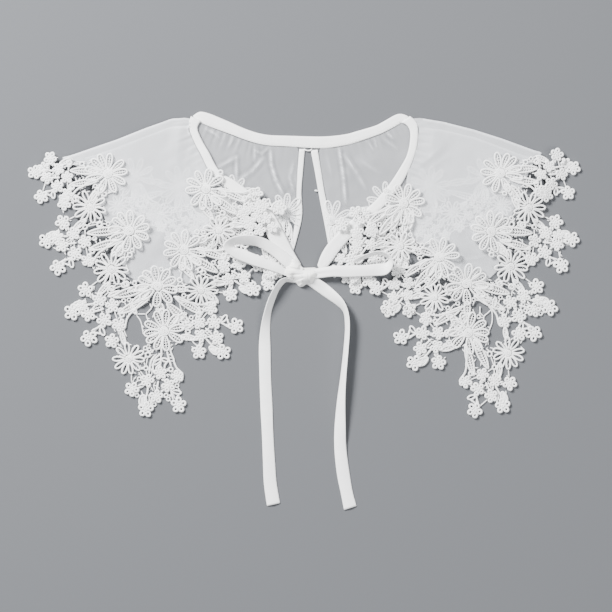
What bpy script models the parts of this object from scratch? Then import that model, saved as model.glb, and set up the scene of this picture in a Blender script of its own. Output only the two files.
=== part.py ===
"""Sheer false collar with an openwork flower-lace border, laid flat and tied in a bow.

Units in the tables are millimetres: X to the right, Y towards the back neck, Z up from the
surface that the collar lies on. Left and right are as seen from above with the bow in front.
"""

import math

import bmesh
import bpy
import numpy as np
from mathutils import Vector
from mathutils.geometry import delaunay_2d_cdt

MM = 0.001                # one millimetre in metres
CENTRE = (-2.13, -0.3)     # what is taken off X and Y so that the box is centred on the origin
GAP = 0.3                 # clearance between pieces that touch

# Walls and mesh steps
ORGANZA_WALL = 1.0
LACE_WALL = 1.0
BINDING_WALL = 1.6
RIBBON_WALL = 1.0
PETAL_RELIEF = 0.7        # how far the petals of the large flowers stand up
MESH_STEP = 8.5           # largest step between the points of a sheet
ROW_STEP = MESH_STEP * math.sqrt(0.75)    # between the rows of a staggered grid of such points
EDGE_ROOM = MESH_STEP * 0.45              # kept free of inner points along the edges
POINT_ROOM = MESH_STEP * 0.6              # and round the points that are given
REACH = 16.0              # how far a sheet stays level past the edge of what is under it
FALL_SLOPE = 0.3          # how steeply it then comes down
FOLD_WIDTH = 4.5          # strip along the shoulder fold in which the front comes down
FOLD_STEP = 7.0           # step of the points along that strip's inner edge
BAND_STEP = 9.0           # steps along the neck bindings, the slit bindings and the ribbons
SLIT_STEP = 12.0
RIBBON_STEP = 8.0

# Ground grid on which the layers are stacked
CELL = 2.0
GRID_X = np.arange(-244.0, 244.1, CELL)
GRID_Y = np.arange(-184.0, 184.1, CELL)
GROUND_X, GROUND_Y = np.meshgrid(GRID_X, GRID_Y)

# Lace outlines, read off a finer grid
LACE_CELL = 0.8
LACE_MARGIN = 34.0        # room round the flowers and tips for the rest of a unit
CLOSING = 1.4             # slots narrower than twice this are lace filling, not gaps
SMALLEST_GAP = 14.0       # area in square millimetres under which a hole is filling
OUTLINE_TOLERANCE = 0.5
EDGE_CLEARANCE = 0.4      # space between a lace edge and what it is kept clear of

# Lace unit: V runs out from the large flower's middle to the tip, U across it
FLOWER_RADIUS = 17.0
FLOWER_PETALS = 10
FLOWER_DEPTH = 0.12       # share of a flower's radius that its rim is scalloped by
PETAL_TOP = 0.62          # share of the radius at which a petal stands highest
SMALL_FLOWER = dict(v=29.8, u=-23.5, radius=12.4, petals=10, depth=0.1)
ROSETTE_LOBES = 6
ROSETTE_DEPTH = 0.2
SINGLE_STALK = 1.3        # half width of the stalk of a single rosette
UNIT_LENGTH = 68.0
# name, v, u, radius
ROSETTES = (
    ("side_low", 53.5, -13.5, 6.6),
    ("mid_1", 46.0, -3.0, 6.0),
    ("mid_2", 37.4, 3.8, 6.0),
    ("tip", 68.3, -0.3, 7.2),
    ("tip_inner", 56.7, 4.7, 6.0),
    ("mid_3", 47.0, 12.7, 6.0),
    ("side_high", 62.0, 22.3, 7.0),
    ("mid_4", 36.7, 19.8, 6.0),
)
# v0, u0, v1, u1, half width at the start, half width at the end
LEAVES = (
    (8.0, 0.0, 36.0, -1.5, 4.6, 3.4),
    (7.0, 5.0, 35.0, 16.5, 4.6, 3.4),
    (9.0, -9.0, 29.0, -14.0, 3.6, 4.4),
    (30.0, -20.0, 46.0, -5.0, 3.0, 3.0),
)
# from rosette, to rosette, half width
STALKS = (
    ("mid_1", "side_low", 1.3),
    ("mid_1", "tip_inner", 1.3),
    ("tip_inner", "tip", 1.6),
    ("mid_2", "mid_1", 1.6),
    ("mid_2", "mid_3", 1.6),
    ("mid_3", "side_high", 1.6),
    ("mid_3", "mid_4", 1.3),
    ("mid_1", "mid_3", 1.3),
)
# v, u, half length along V, half width: slots between the long leaves
UNIT_SLOTS = (
    (23.5, 5.2, 5.2, 2.2),
    (24.5, -7.0, 5.6, 2.1),
)

# Front lace units: flower x, y, tip x, y, which flowers it has, rosettes left out
FRONT_UNITS = {
    "left": (
        (-163.0, 112.0, -222.5, 113.0, "large", ()),
        (-144.5, 65.0, -212.5, 57.0, "both", ()),
        (-122.0, 19.5, -191.5, -1.5, "both", ()),
        (-116.5, -16.5, -132.5, -81.5, "both", ()),
        (-118.5, 12.5, -68.5, -33.5, "none", ()),
        (-100.5, 49.5, -44.0, 18.0, "both", ()),
        (-82.5, 99.5, -29.5, 63.0, "both", ("tip", "tip_inner")),
    ),
    "right": (
        (159.0, 112.5, 218.5, 116.5, "large", ()),
        (151.0, 64.5, 217.0, 58.0, "both", ()),
        (131.0, 21.5, 199.0, 2.0, "both", ()),
        (132.5, -18.0, 160.5, -78.0, "both", ()),
        (138.0, 4.0, 88.5, -42.5, "none", ()),
        (108.5, 43.5, 67.5, 0.5, "both", ()),
        (80.0, 89.5, 37.0, 41.0, "both", ("side_high",)),
    ),
}
# Webs that join the front units: unit, its form, other unit, its form, half width
FRONT_LINKS = (
    (1, "small", 0, "flower", 5.0),
    (1, "small", 0, "mid_4", 2.5),
    (2, "small", 1, "flower", 5.0),
    (2, "small", 1, "mid_4", 2.5),
    (3, "flower", 2, "flower", 5.0),
    (3, "small", 2, "mid_4", 1.6),
    (4, "mid_2", 3, "flower", 4.0),
    (5, "small", 2, "flower", 3.5),
    (5, "small", 4, "mid_4", 2.5),
    (6, "small", 5, "flower", 5.0),
    (6, "small", 5, "mid_4", 2.5),
)
# Single rosettes where two units spread apart: x, y, radius, then where their stalk starts
EXTRA_ROSETTES = {
    "left": (
        (-198.5, 87.5, 5.9, -187.0, 92.0),
        (-159.5, -25.0, 6.2, -152.0, -32.0),
    ),
    "right": (
        (196.5, 94.5, 5.9, 186.0, 92.0),
        (174.0, -19.5, 6.2, 166.0, -28.0),
    ),
}
# Wide gaps cut through the lace: x, y, half length, half width, turn in degrees
GAPS = {
    "left": (
        (-142.0, -12.5, 11.5, 7.5, 70.0),
        (-134.5, 4.0, 6.5, 5.0, 0.0),
        (-105.5, 6.0, 6.0, 5.0, 60.0),
        (-98.0, 2.5, 3.6, 3.0, 0.0),
        (-155.5, 49.0, 7.5, 4.6, 50.0),
        (-96.0, -19.0, 5.0, 2.8, 20.0),
    ),
    "right": (
        (157.0, -13.5, 10.0, 6.0, 100.0),
        (147.5, 1.5, 5.2, 4.8, 0.0),
        (124.0, 0.5, 5.6, 4.4, 120.0),
        (112.0, -22.0, 5.0, 2.8, 160.0),
        (110.0, -5.0, 4.0, 2.8, 150.0),
    ),
}

# Back lace units, under the back panels
BACK_UNITS = {
    "left": (
        (-17.0, 79.0, -31.0, 22.0, "large", ("side_high",)),
        (-61.0, 94.5, -68.0, 42.0, "both", ()),
        (-103.5, 101.5, -101.0, 50.0, "both", ()),
        (-140.5, 108.5, -134.0, 62.0, "both", ("side_low",)),
    ),
    "right": (
        (20.5, 73.5, 40.0, 19.0, "large", ("side_high",)),
        (58.5, 93.0, 74.0, 42.0, "both", ()),
        (101.5, 101.5, 104.0, 50.0, "both", ()),
        (146.5, 108.5, 140.0, 62.0, "both", ("side_low",)),
    ),
}
BACK_LINKS = tuple(
    (unit, "small" if form == "small" else "flower", unit - 1, "flower", half_width)
    for unit in (1, 2, 3) for form, half_width in (("small", 4.0), ("flower", 3.0))
)

# Panel outlines between the ends of their neck seams. The back panels run from the shoulder
# end of the neck seam to the foot of the slit, the front panels from the shoulder to the front.
BACK_PANEL = {
    "left": (
        (-87.5, 150.8), (-95.0, 151.5), (-110.5, 150.5), (-131.5, 143.0), (-155.5, 133.5),
        (-182.0, 124.5), (-173.0, 111.0), (-157.0, 105.5), (-140.5, 97.0), (-122.0, 94.0),
        (-103.5, 88.0), (-82.5, 87.5), (-61.0, 81.5), (-38.0, 76.0),
    ),
    "right": (
        (80.0, 151.0), (86.5, 151.0), (112.0, 148.0), (137.5, 142.0), (159.5, 134.0),
        (183.0, 125.0), (171.0, 112.0), (154.5, 105.5), (138.5, 97.0), (119.5, 94.0),
        (101.5, 88.0), (80.0, 86.0), (58.5, 80.0), (37.5, 72.5),
    ),
}
FRONT_PANEL = {
    "left": (
        (-98.0, 158.0), (-110.5, 157.0), (-131.5, 149.5), (-155.5, 140.0), (-187.5, 129.0),
        (-200.0, 125.0), (-186.0, 116.0), (-174.0, 101.0), (-167.0, 80.0), (-158.0, 57.0),
        (-151.5, 40.0), (-148.0, 29.5), (-130.0, 20.5), (-110.0, 20.0), (-92.0, 23.0),
        (-88.5, 35.0), (-90.0, 50.0), (-83.0, 62.0), (-75.0, 74.0), (-73.5, 95.0),
    ),
    "right": (
        (90.0, 158.2), (112.0, 154.5), (137.5, 148.0), (159.5, 141.0), (192.5, 129.0),
        (185.0, 119.0), (176.0, 99.0), (169.0, 79.0), (162.5, 58.0), (158.0, 40.0),
        (155.0, 31.0), (140.5, 20.0), (121.5, 20.0), (109.5, 33.0), (99.5, 45.5),
        (89.0, 56.0), (80.5, 60.0), (78.0, 73.0), (80.0, 88.0),
    ),
}
PANEL_NECK = {"left": (-86.0, -7.0), "right": (10.2, 78.5)}     # X range of the back neck seam
SLIT_CLEARANCE = {"left": (-19.0, 40.0), "right": (27.0, -30.0)}  # X range kept clear of lace
SLIT_FOOT = 72.5                                                # Y of the hem at the slit
FRONT_SEAM_END = {"left": 108.0, "right": 106.0}                # Y where the front seam ends

# Shoulder folds, along which the front panels come down to the surface
SHOULDER_FOLD = {
    "left": ((-88.5, 157.5), (-97.0, 158.2), (-110.5, 157.0), (-131.5, 149.5),
             (-155.5, 140.0), (-187.5, 129.0), (-200.0, 125.0)),
    "right": ((81.5, 157.5), (89.5, 158.2), (112.0, 154.5), (137.5, 148.0),
              (159.5, 141.0), (192.5, 129.0)),
}
# Creases in the sheer cloth: x0, y0, x1, y1, height, half width
BACK_CREASES = (
    (-29.0, 130.0, -28.0, 118.0, 2.0, 4.0),
    (-27.0, 118.0, -19.0, 98.0, 2.4, 4.5),
    (-42.0, 132.0, -45.0, 120.0, 1.6, 4.0),
    (-57.5, 126.0, -57.5, 109.0, 1.8, 4.0),
    (-72.0, 117.0, -59.0, 124.0, 1.5, 4.0),
    (30.0, 128.0, 32.5, 92.0, 2.2, 4.5),
    (34.0, 124.0, 47.0, 104.0, 1.6, 5.0),
)
FRONT_CREASES = (
    (-104.0, 146.0, -112.0, 116.0, 1.4, 8.0),
    (-120.0, 92.0, -138.0, 84.0, 1.2, 7.0),
    (-112.0, 72.0, -126.0, 52.0, 1.2, 7.0),
    (96.0, 122.0, 112.0, 136.0, 1.6, 7.0),
    (104.0, 148.0, 100.0, 124.0, 1.4, 8.0),
    (122.0, 90.0, 140.0, 82.0, 1.2, 7.0),
    (116.0, 66.0, 132.0, 48.0, 1.2, 7.0),
)

# Tapes and ribbons, row by row: first edge x, y, lift, then second edge x, y, lift
NECK_BINDING_BACK = (
    (-93.2, 159.6, 0.0, -90.2, 154.9, 0.0),
    (-87.5, 163.0, 0.0, -84.9, 153.0, 0.0),
    (-79.5, 161.5, 0.0, -76.7, 149.6, 0.0),
    (-66.0, 155.8, 0.0, -63.5, 144.7, 0.0),
    (-49.0, 148.4, 0.0, -49.6, 139.4, 0.0),
    (-34.0, 144.4, 0.0, -34.8, 135.7, 0.0),
    (-16.0, 143.3, 0.0, -16.0, 134.3, 0.0),
    (11.0, 142.6, 0.0, 11.0, 132.8, 0.0),
    (30.8, 144.4, 0.0, 31.6, 135.4, 0.0),
    (41.4, 147.0, 0.0, 43.9, 138.7, 0.0),
    (56.2, 151.3, 0.0, 59.5, 144.1, 0.0),
    (63.6, 155.1, 0.0, 67.7, 148.0, 0.0),
    (72.6, 160.3, 0.0, 74.2, 151.7, 0.0),
    (78.0, 161.3, 0.0, 78.3, 154.3, 0.0),
    (84.5, 159.0, 0.0, 82.0, 155.4, 0.0),
)
NECK_BINDING_FRONT = {
    "left": (
        (-90.2, 154.2, 0.0, -96.4, 157.4, 0.0),
        (-89.8, 148.4, 0.0, -96.0, 148.0, 0.0),
        (-84.9, 138.2, 0.0, -91.6, 137.2, 0.0),
        (-79.5, 128.7, 0.0, -86.5, 127.5, 0.0),
        (-74.2, 118.5, 0.0, -81.6, 117.3, 0.0),
        (-68.5, 112.0, 0.0, -76.4, 110.5, 0.0),
        (-59.5, 107.0, 0.0, -65.8, 100.6, 0.0),
        (-50.4, 100.5, 0.0, -56.5, 93.5, 0.0),
        (-39.8, 92.2, 0.0, -47.0, 84.8, 0.0),
        (-30.0, 83.2, 0.0, -39.0, 77.0, 0.0),
        (-22.6, 72.5, 0.0, -34.6, 67.0, 0.0),
        (-16.0, 59.5, 0.0, -28.2, 54.0, 0.0),
        (-9.5, 46.5, 0.0, -20.6, 44.5, 0.0),
        (-4.6, 38.3, 0.0, -12.8, 32.0, 0.0),
    ),
    "right": (
        (82.4, 154.8, 0.0, 88.6, 157.8, 0.0),
        (86.6, 148.0, 0.0, 91.6, 148.8, 0.0),
        (84.5, 137.4, 0.0, 90.6, 135.7, 0.0),
        (81.6, 125.9, 0.0, 87.4, 124.2, 0.0),
        (74.2, 112.8, 0.0, 82.4, 111.8, 0.0),
        (67.6, 103.0, 0.0, 75.8, 100.4, 0.0),
        (56.2, 89.8, 0.0, 65.2, 87.4, 0.0),
        (45.5, 80.8, 0.0, 53.8, 75.8, 0.0),
        (35.0, 72.6, 0.0, 44.0, 65.2, 0.0),
        (25.8, 63.6, 0.0, 34.8, 57.8, 0.0),
        (17.4, 54.6, 0.0, 26.6, 48.8, 0.0),
        (11.9, 45.8, 0.0, 20.2, 39.8, 0.0),
        (8.9, 37.2, 0.0, 12.2, 30.5, 0.0),
    ),
}
SLIT_BINDING = {
    "left": (
        (-1.4, 132.4, 0.0, -6.1, 132.4, 0.0),
        (-2.9, 112.8, 0.0, -7.4, 112.8, 0.0),
        (-4.1, 97.2, 0.0, -8.2, 97.2, 0.0),
        (-3.7, 77.5, 0.0, -8.9, 77.5, 0.0),
        (-8.0, 57.8, 0.0, -12.3, 56.2, 0.0),
        (-11.9, 44.7, 0.0, -16.4, 46.3, 0.0),
    ),
    "right": (
        (3.4, 131.4, 0.0, 9.3, 131.8, 0.0),
        (6.6, 114.4, 0.0, 11.9, 114.4, 0.0),
        (9.3, 99.6, 0.0, 14.7, 98.0, 0.0),
        (13.5, 77.5, 0.0, 18.9, 78.3, 0.0),
        (17.5, 55.4, 0.0, 22.6, 57.8, 0.0),
        (20.1, 44.7, 0.0, 25.0, 46.3, 0.0),
    ),
}
BOW_LOOP = {
    "left": (
        (-5.4, 37.3, 0.0, -12.5, 31.0, 0.0),
        (-14.4, 45.9, 0.0, -18.9, 36.9, 0.0),
        (-23.4, 52.4, 0.2, -26.7, 43.9, 0.0),
        (-32.4, 58.2, 1.5, -32.8, 48.4, 0.0),
        (-41.4, 61.1, 4.5, -40.6, 52.5, 0.0),
        (-49.6, 61.6, 6.8, -48.8, 55.0, 0.0),
        (-57.8, 60.7, 7.2, -55.0, 55.0, 0.0),
        (-64.8, 57.4, 7.0, -58.0, 54.0, 0.0),
        (-68.1, 52.9, 6.5, -59.0, 52.8, 0.0),
        (-65.6, 48.0, 5.0, -57.5, 51.4, 0.0),
        (-57.8, 42.6, 2.5, -53.7, 50.0, 0.0),
        (-49.1, 39.0, 0.8, -46.5, 46.4, 0.0),
        (-41.4, 36.3, 0.2, -39.0, 43.6, 0.0),
        (-32.4, 33.7, 0.0, -31.2, 41.4, 0.0),
        (-23.4, 30.8, 0.0, -22.4, 38.0, 0.0),
        (-12.9, 27.2, 0.0, -12.9, 29.3, 0.0),
    ),
    "right": (
        (11.5, 26.7, 0.0, 9.8, 34.6, 0.0),
        (21.8, 27.8, 0.0, 22.6, 36.5, 0.0),
        (32.4, 27.4, 0.0, 34.0, 36.8, 0.0),
        (45.5, 27.8, 0.2, 46.3, 37.1, 0.0),
        (57.0, 28.3, 1.5, 57.0, 38.1, 0.0),
        (65.2, 29.5, 4.5, 63.6, 38.6, 0.0),
        (69.8, 34.8, 7.5, 65.8, 39.6, 0.0),
        (70.3, 41.4, 9.0, 67.2, 41.8, 0.0),
        (66.0, 46.8, 9.0, 64.4, 43.9, 0.0),
        (57.8, 48.6, 9.2, 58.2, 45.5, 0.0),
        (47.2, 45.4, 9.0, 48.0, 42.4, 0.0),
        (37.6, 41.2, 8.5, 37.2, 38.8, 0.2),
    ),
}
TIE_TAIL = {
    "left": (
        (-12.8, 25.9, 4.0, -11.4, 23.0, 0.4),
        (-17.6, 26.8, 6.5, -16.4, 23.4, 0.0),
        (-22.6, 24.2, 8.0, -18.9, 21.7, 0.0),
        (-27.5, 16.8, 8.0, -22.1, 17.6, 0.0),
        (-31.8, 7.8, 6.5, -25.3, 10.3, 0.0),
        (-35.7, -5.3, 4.5, -29.1, -2.1, 0.0),
        (-38.1, -18.5, 2.0, -29.9, -16.8, 0.0),
        (-39.0, -31.6, 0.5, -29.5, -31.6, 0.0),
        (-38.5, -53.7, 0.0, -29.1, -55.4, 0.0),
        (-37.7, -79.1, 0.0, -27.9, -79.1, 0.0),
        (-36.5, -101.3, 0.0, -27.1, -102.9, 0.0),
        (-35.7, -122.6, 0.0, -25.8, -124.2, 0.0),
        (-34.9, -141.5, 0.0, -24.6, -140.6, 0.0),
        (-32.4, -160.3, 0.0, -21.7, -157.9, 0.0),
    ),
    "right": (
        (1.7, 20.6, 0.5, 10.4, 25.8, 3.0),
        (12.7, 12.7, 0.0, 18.5, 20.1, 2.0),
        (24.4, 4.5, 0.0, 28.3, 10.7, 6.0),
        (30.2, -1.2, 0.0, 32.8, 2.9, 8.0),
        (31.6, -9.8, 0.0, 34.9, -6.2, 8.5),
        (31.4, -20.9, 0.0, 35.2, -16.8, 8.0),
        (29.7, -39.0, 0.0, 34.0, -34.0, 7.5),
        (27.5, -57.0, 0.0, 32.4, -53.7, 7.5),
        (25.0, -75.0, 0.0, 31.6, -73.4, 6.0),
        (23.0, -97.2, 0.0, 32.0, -95.5, 3.0),
        (23.0, -114.4, 0.0, 32.6, -112.8, 0.8),
        (25.0, -134.1, 0.0, 34.9, -130.8, 0.0),
        (28.3, -150.5, 0.0, 37.7, -148.0, 0.0),
        (30.8, -163.6, 0.0, 41.0, -160.3, 0.0),
    ),
}
KNOT_OUTLINE = (
    (-4.8, 36.8), (8.2, 36.0), (10.7, 26.5), (1.2, 20.9),
    (-4.8, 18.9), (-10.3, 22.6), (-12.1, 26.2), (-12.1, 30.3),
)
# Heights of the knot's rings from the surface up, and the share of the outline that each has
KNOT_RINGS = ((0.0, 0.9), (1.6, 1.0), (5.1, 0.98), (6.7, 0.8), (7.5, 0.45))

# Materials: colour, roughness, alpha
MATERIALS = {
    "organza": ((0.86, 0.87, 0.90), 0.45, 0.55),
    "lace_thread": ((0.92, 0.92, 0.92), 0.70, 1.0),
    "ribbon": ((0.93, 0.93, 0.92), 0.40, 1.0),
}


# Plane geometry
def distance_to_line(x, y, line):
    """Distance of each point to an open line of points."""
    best = np.full(np.shape(x), 1e9)
    for (x0, y0), (x1, y1) in zip(line[:-1], line[1:]):
        run_x, run_y = x1 - x0, y1 - y0
        along = ((x - x0) * run_x + (y - y0) * run_y) / (run_x ** 2 + run_y ** 2)
        along = np.clip(along, 0.0, 1.0)
        best = np.minimum(best, np.hypot(x - x0 - along * run_x, y - y0 - along * run_y))
    return best


def inside(x, y, loops):
    """True for the points that lie inside an odd number of the closed loops."""
    odd = np.zeros(np.shape(x), dtype=bool)
    for loop in loops:
        for (x0, y0), (x1, y1) in zip(loop, tuple(loop[1:]) + (loop[0],)):
            if y0 == y1:
                continue
            crosses = (y0 > y) != (y1 > y)
            odd ^= crosses & (x < x0 + (y - y0) * (x1 - x0) / (y1 - y0))
    return odd


def edge_distance(x, y, loops):
    """Distance of each point to the nearest of the closed loops."""
    return np.minimum.reduce([
        distance_to_line(x, y, tuple(loop) + (loop[0],)) for loop in loops
    ])


def split_long_edges(loop, step):
    """The closed loop with points added so that no edge is longer than step."""
    points = []
    for (x0, y0), (x1, y1) in zip(loop, tuple(loop[1:]) + (loop[0],)):
        parts = max(1, math.ceil(math.hypot(x1 - x0, y1 - y0) / step))
        for part in range(parts):
            share = part / parts
            points.append((x0 + (x1 - x0) * share, y0 + (y1 - y0) * share))
    return points


def smooth_rows(rows, step):
    """Rows of a table, read off smooth curves through them at about the given step."""
    rows = np.array(rows)
    padded = np.vstack([2 * rows[0] - rows[1], rows, 2 * rows[-1] - rows[-2]])
    result = []
    for before, start, end, after in zip(padded[:-3], padded[1:-2], padded[2:-1], padded[3:]):
        middle_run = (end + end[[3, 4, 5, 0, 1, 2]] - start - start[[3, 4, 5, 0, 1, 2]]) / 2
        parts = max(1, round(math.hypot(middle_run[0], middle_run[1]) / step))
        for part in range(parts):
            t = part / parts
            result.append(0.5 * (
                2 * start + (end - before) * t
                + (2 * before - 5 * start + 4 * end - after) * t ** 2
                + (3 * start - before - 3 * end + after) * t ** 3
            ))
    result.append(rows[-1])
    return np.array(result)


# Layers on the ground grid
def shifted(grid, rows, columns):
    """The grid moved by whole cells, its border repeated."""
    return np.roll(np.pad(grid, 8, mode="edge"), (rows, columns), (0, 1))[8:-8, 8:-8]


def lie_over(stack):
    """Underside of a sheet that lies on the stack: level past its edges, then falling."""
    cells = int(REACH / CELL)
    level = stack.copy()
    for row in range(-cells, cells + 1):
        for column in range(-cells, cells + 1):
            if 0 < math.hypot(row, column) * CELL <= REACH:
                level = np.maximum(level, shifted(stack, row, column))
    level = np.where(level > 0, level + GAP, 0.0)
    for _ in range(int(level.max() / (FALL_SLOPE * CELL)) + 1):
        for row, column in ((0, 1), (0, -1), (1, 0), (-1, 0), (1, 1), (1, -1), (-1, 1), (-1, -1)):
            drop = FALL_SLOPE * CELL * math.hypot(row, column)
            level = np.maximum(level, shifted(level, row, column) - drop)
    return level


def height_at(grid, x, y):
    """Height of the grid at points between its cells."""
    column = np.clip((np.asarray(x) - GRID_X[0]) / CELL, 0, len(GRID_X) - 1.001)
    row = np.clip((np.asarray(y) - GRID_Y[0]) / CELL, 0, len(GRID_Y) - 1.001)
    i, j = row.astype(int), column.astype(int)
    a, b = row - i, column - j
    return ((grid[i, j] * (1 - b) + grid[i, j + 1] * b) * (1 - a)
            + (grid[i + 1, j] * (1 - b) + grid[i + 1, j + 1] * b) * a)


def crease_heights(creases):
    """Soft ridges along the creases, on the ground grid."""
    heights = np.zeros_like(GROUND_X)
    for x0, y0, x1, y1, height, half_width in creases:
        away = distance_to_line(GROUND_X, GROUND_Y, ((x0, y0), (x1, y1)))
        ridge = height * np.cos(np.clip(away / half_width, 0, 1) * math.pi / 2) ** 2
        heights = np.maximum(heights, ridge)
    return heights


def add_to_stack(stack, loops, underside, wall):
    """The stack with a sheet of this outline on it."""
    covered = inside(GROUND_X, GROUND_Y, loops)
    return np.maximum(stack, np.where(covered, underside + wall, 0.0))


def fold_down(underside, fold):
    """The underside brought down to the surface along a fold."""
    away = np.clip(distance_to_line(GROUND_X, GROUND_Y, fold) / FOLD_WIDTH, 0, 1)
    return underside * np.sqrt(1 - (1 - away) ** 2)


# Objects
def start_scene():
    """Empty the scene and return the collar's collection and materials."""
    for item in list(bpy.context.scene.objects):
        bpy.data.objects.remove(item, do_unlink=True)
    collection = bpy.data.collections.new("lace_collar")
    bpy.context.scene.collection.children.link(collection)
    materials = {}
    for name, (colour, roughness, alpha) in MATERIALS.items():
        material = bpy.data.materials.new(name)
        material.use_nodes = True
        shader = material.node_tree.nodes["Principled BSDF"]
        shader.inputs["Base Color"].default_value = (*colour, 1.0)
        shader.inputs["Roughness"].default_value = roughness
        shader.inputs["Metallic"].default_value = 0.0
        shader.inputs["Alpha"].default_value = alpha
        materials[name] = material
    return collection, materials


def add_object(name, form, material, collection):
    """Put a finished bmesh, in millimetres, into an object in metres."""
    bmesh.ops.translate(form, vec=(-CENTRE[0], -CENTRE[1], 0.0), verts=form.verts)
    bmesh.ops.scale(form, vec=(MM, MM, MM), verts=form.verts)
    mesh = bpy.data.meshes.new(name)
    form.to_mesh(mesh)
    form.free()
    mesh.materials.append(material)
    piece = bpy.data.objects.new(name, mesh)
    collection.objects.link(piece)
    return piece


def add_sheet(name, loops, underside, wall, material, collection, points=(), relief=None):
    """A flat-cut sheet that follows the underside grid, thickened straight up."""
    loops = [split_long_edges(loop, MESH_STEP) for loop in loops]
    corners = [Vector(point) for loop in loops for point in loop]
    edges = []
    first = 0
    for loop in loops:
        edges += [(first + i, first + (i + 1) % len(loop)) for i in range(len(loop))]
        first += len(loop)
    corners += [Vector(point) for point in points]
    corners += [Vector(point) for point in inner_points(loops, points)]
    flat, _, faces, *_ = delaunay_2d_cdt(corners, edges, [], 0, 1e-6)
    middles = np.array([sum((flat[i] for i in face), Vector((0, 0))) / 3 for face in faces])
    kept = inside(middles[:, 0], middles[:, 1], loops)
    x, y = np.array([corner.x for corner in flat]), np.array([corner.y for corner in flat])
    low = height_at(underside, x, y)
    rise = wall + (relief(x, y) if relief else np.zeros_like(x))

    form = bmesh.new()
    lower = [form.verts.new(corner) for corner in zip(x, y, low)]
    upper = [form.verts.new(corner) for corner in zip(x, y, low + rise)]
    for face, keep in zip(faces, kept):
        if keep:
            form.faces.new([upper[i] for i in face])
            form.faces.new([lower[i] for i in reversed(face)])
    join_rims(form, lower, upper)
    bmesh.ops.delete(form, geom=[v for v in form.verts if not v.link_faces], context="VERTS")
    bmesh.ops.recalc_face_normals(form, faces=form.faces)
    return add_object(name, form, material, collection)


def join_rims(form, lower, upper):
    """Walls between the borders of the lower and the upper skin."""
    above = dict(zip(lower, upper))
    borders = [edge for edge in form.edges if edge.is_boundary and edge.verts[0] in above]
    for edge in borders:
        start, end = edge.verts
        form.faces.new((start, end, above[end], above[start]))


def inner_points(loops, taken):
    """A staggered grid of points inside the loops, clear of their edges and of taken points."""
    corners = np.array([point for loop in loops for point in loop])
    low, high = corners.min(axis=0), corners.max(axis=0)
    rows = np.arange(low[1], high[1], ROW_STEP)
    grid = [
        (x, y)
        for row, y in enumerate(rows)
        for x in np.arange(low[0] + (row % 2) * MESH_STEP / 2, high[0], MESH_STEP)
    ]
    grid = np.array(grid)
    x, y = grid[:, 0], grid[:, 1]
    keep = inside(x, y, loops)
    keep &= edge_distance(x, y, loops) > EDGE_ROOM
    for taken_x, taken_y in taken:
        keep &= np.hypot(x - taken_x, y - taken_y) > POINT_ROOM
    return grid[keep]


def add_strip(name, rows, underside, wall, step, material, collection, upright=True):
    """A tape between two edges, lifted off the underside grid as its table says."""
    rows = smooth_rows(rows, step)
    form = bmesh.new()
    lines = []
    for row in rows:
        first, second = row[:3], row[3:]
        across = []
        for share in (0.0, 0.5, 1.0):
            x, y, lift = first * (1 - share) + second * share
            across.append(form.verts.new((x, y, float(height_at(underside, x, y)) + max(lift, 0))))
        lines.append(across)
    for line, following in zip(lines[:-1], lines[1:]):
        for k in range(2):
            form.faces.new((line[k], line[k + 1], following[k + 1], following[k]))
    bmesh.ops.recalc_face_normals(form, faces=form.faces)
    if sum(face.normal.z for face in form.faces) < 0:
        bmesh.ops.reverse_faces(form, faces=form.faces)
    if upright:
        lower = list(form.verts)
        upper = [form.verts.new(corner.co + Vector((0, 0, wall))) for corner in lower]
        above = dict(zip(lower, upper))
        for face in list(form.faces):
            form.faces.new([above[corner] for corner in face.verts])
            face.normal_flip()
        join_rims(form, lower, upper)
        bmesh.ops.recalc_face_normals(form, faces=form.faces)
    piece = add_object(name, form, material, collection)
    if not upright:
        thicken = piece.modifiers.new("thickness", "SOLIDIFY")
        thicken.thickness = wall * MM
        thicken.offset = 1.0
        thicken.use_even_offset = True
    return piece


def strip_loop(rows, step):
    """The outline of a strip seen from above."""
    rows = smooth_rows(rows, step)
    return [tuple(row[:2]) for row in rows] + [tuple(row[3:5]) for row in rows[::-1]]


def seam_edge(rows, step):
    """Points along a strip's second edge, a seam's gap beside it."""
    rows = smooth_rows(rows, step)
    across = rows[:, 3:5] - rows[:, :2]
    across /= np.hypot(across[:, 0], across[:, 1])[:, None]
    return [tuple(point) for point in rows[:, 3:5] + across * GAP]


def slit_loop(side):
    """The slit and the knot's place, from one side's binding seam to the far side."""
    near, far = SLIT_CLEARANCE[side]
    seam = [tuple(row[3:5]) for row in smooth_rows(SLIT_BINDING[side], SLIT_STEP)]
    return seam + [(near, 38.0), (near, 17.0), (far, 17.0), (far, seam[0][1])]


def back_panel_loop(side):
    """Outline of a back panel: neck seam, shoulder, hem and slit seam."""
    low, high = PANEL_NECK[side]
    neck = [p for p in seam_edge(NECK_BINDING_BACK, BAND_STEP) if low < p[0] < high]
    if side == "left":
        neck.reverse()
    seam = seam_edge(SLIT_BINDING[side], SLIT_STEP)[::-1]
    foot_x = float(np.interp(SLIT_FOOT, [p[1] for p in seam], [p[0] for p in seam]))
    slit = [p for p in seam if SLIT_FOOT + 2 < p[1] < neck[0][1] - 1.5]
    return neck + list(BACK_PANEL[side]) + [(foot_x, SLIT_FOOT)] + slit


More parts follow.
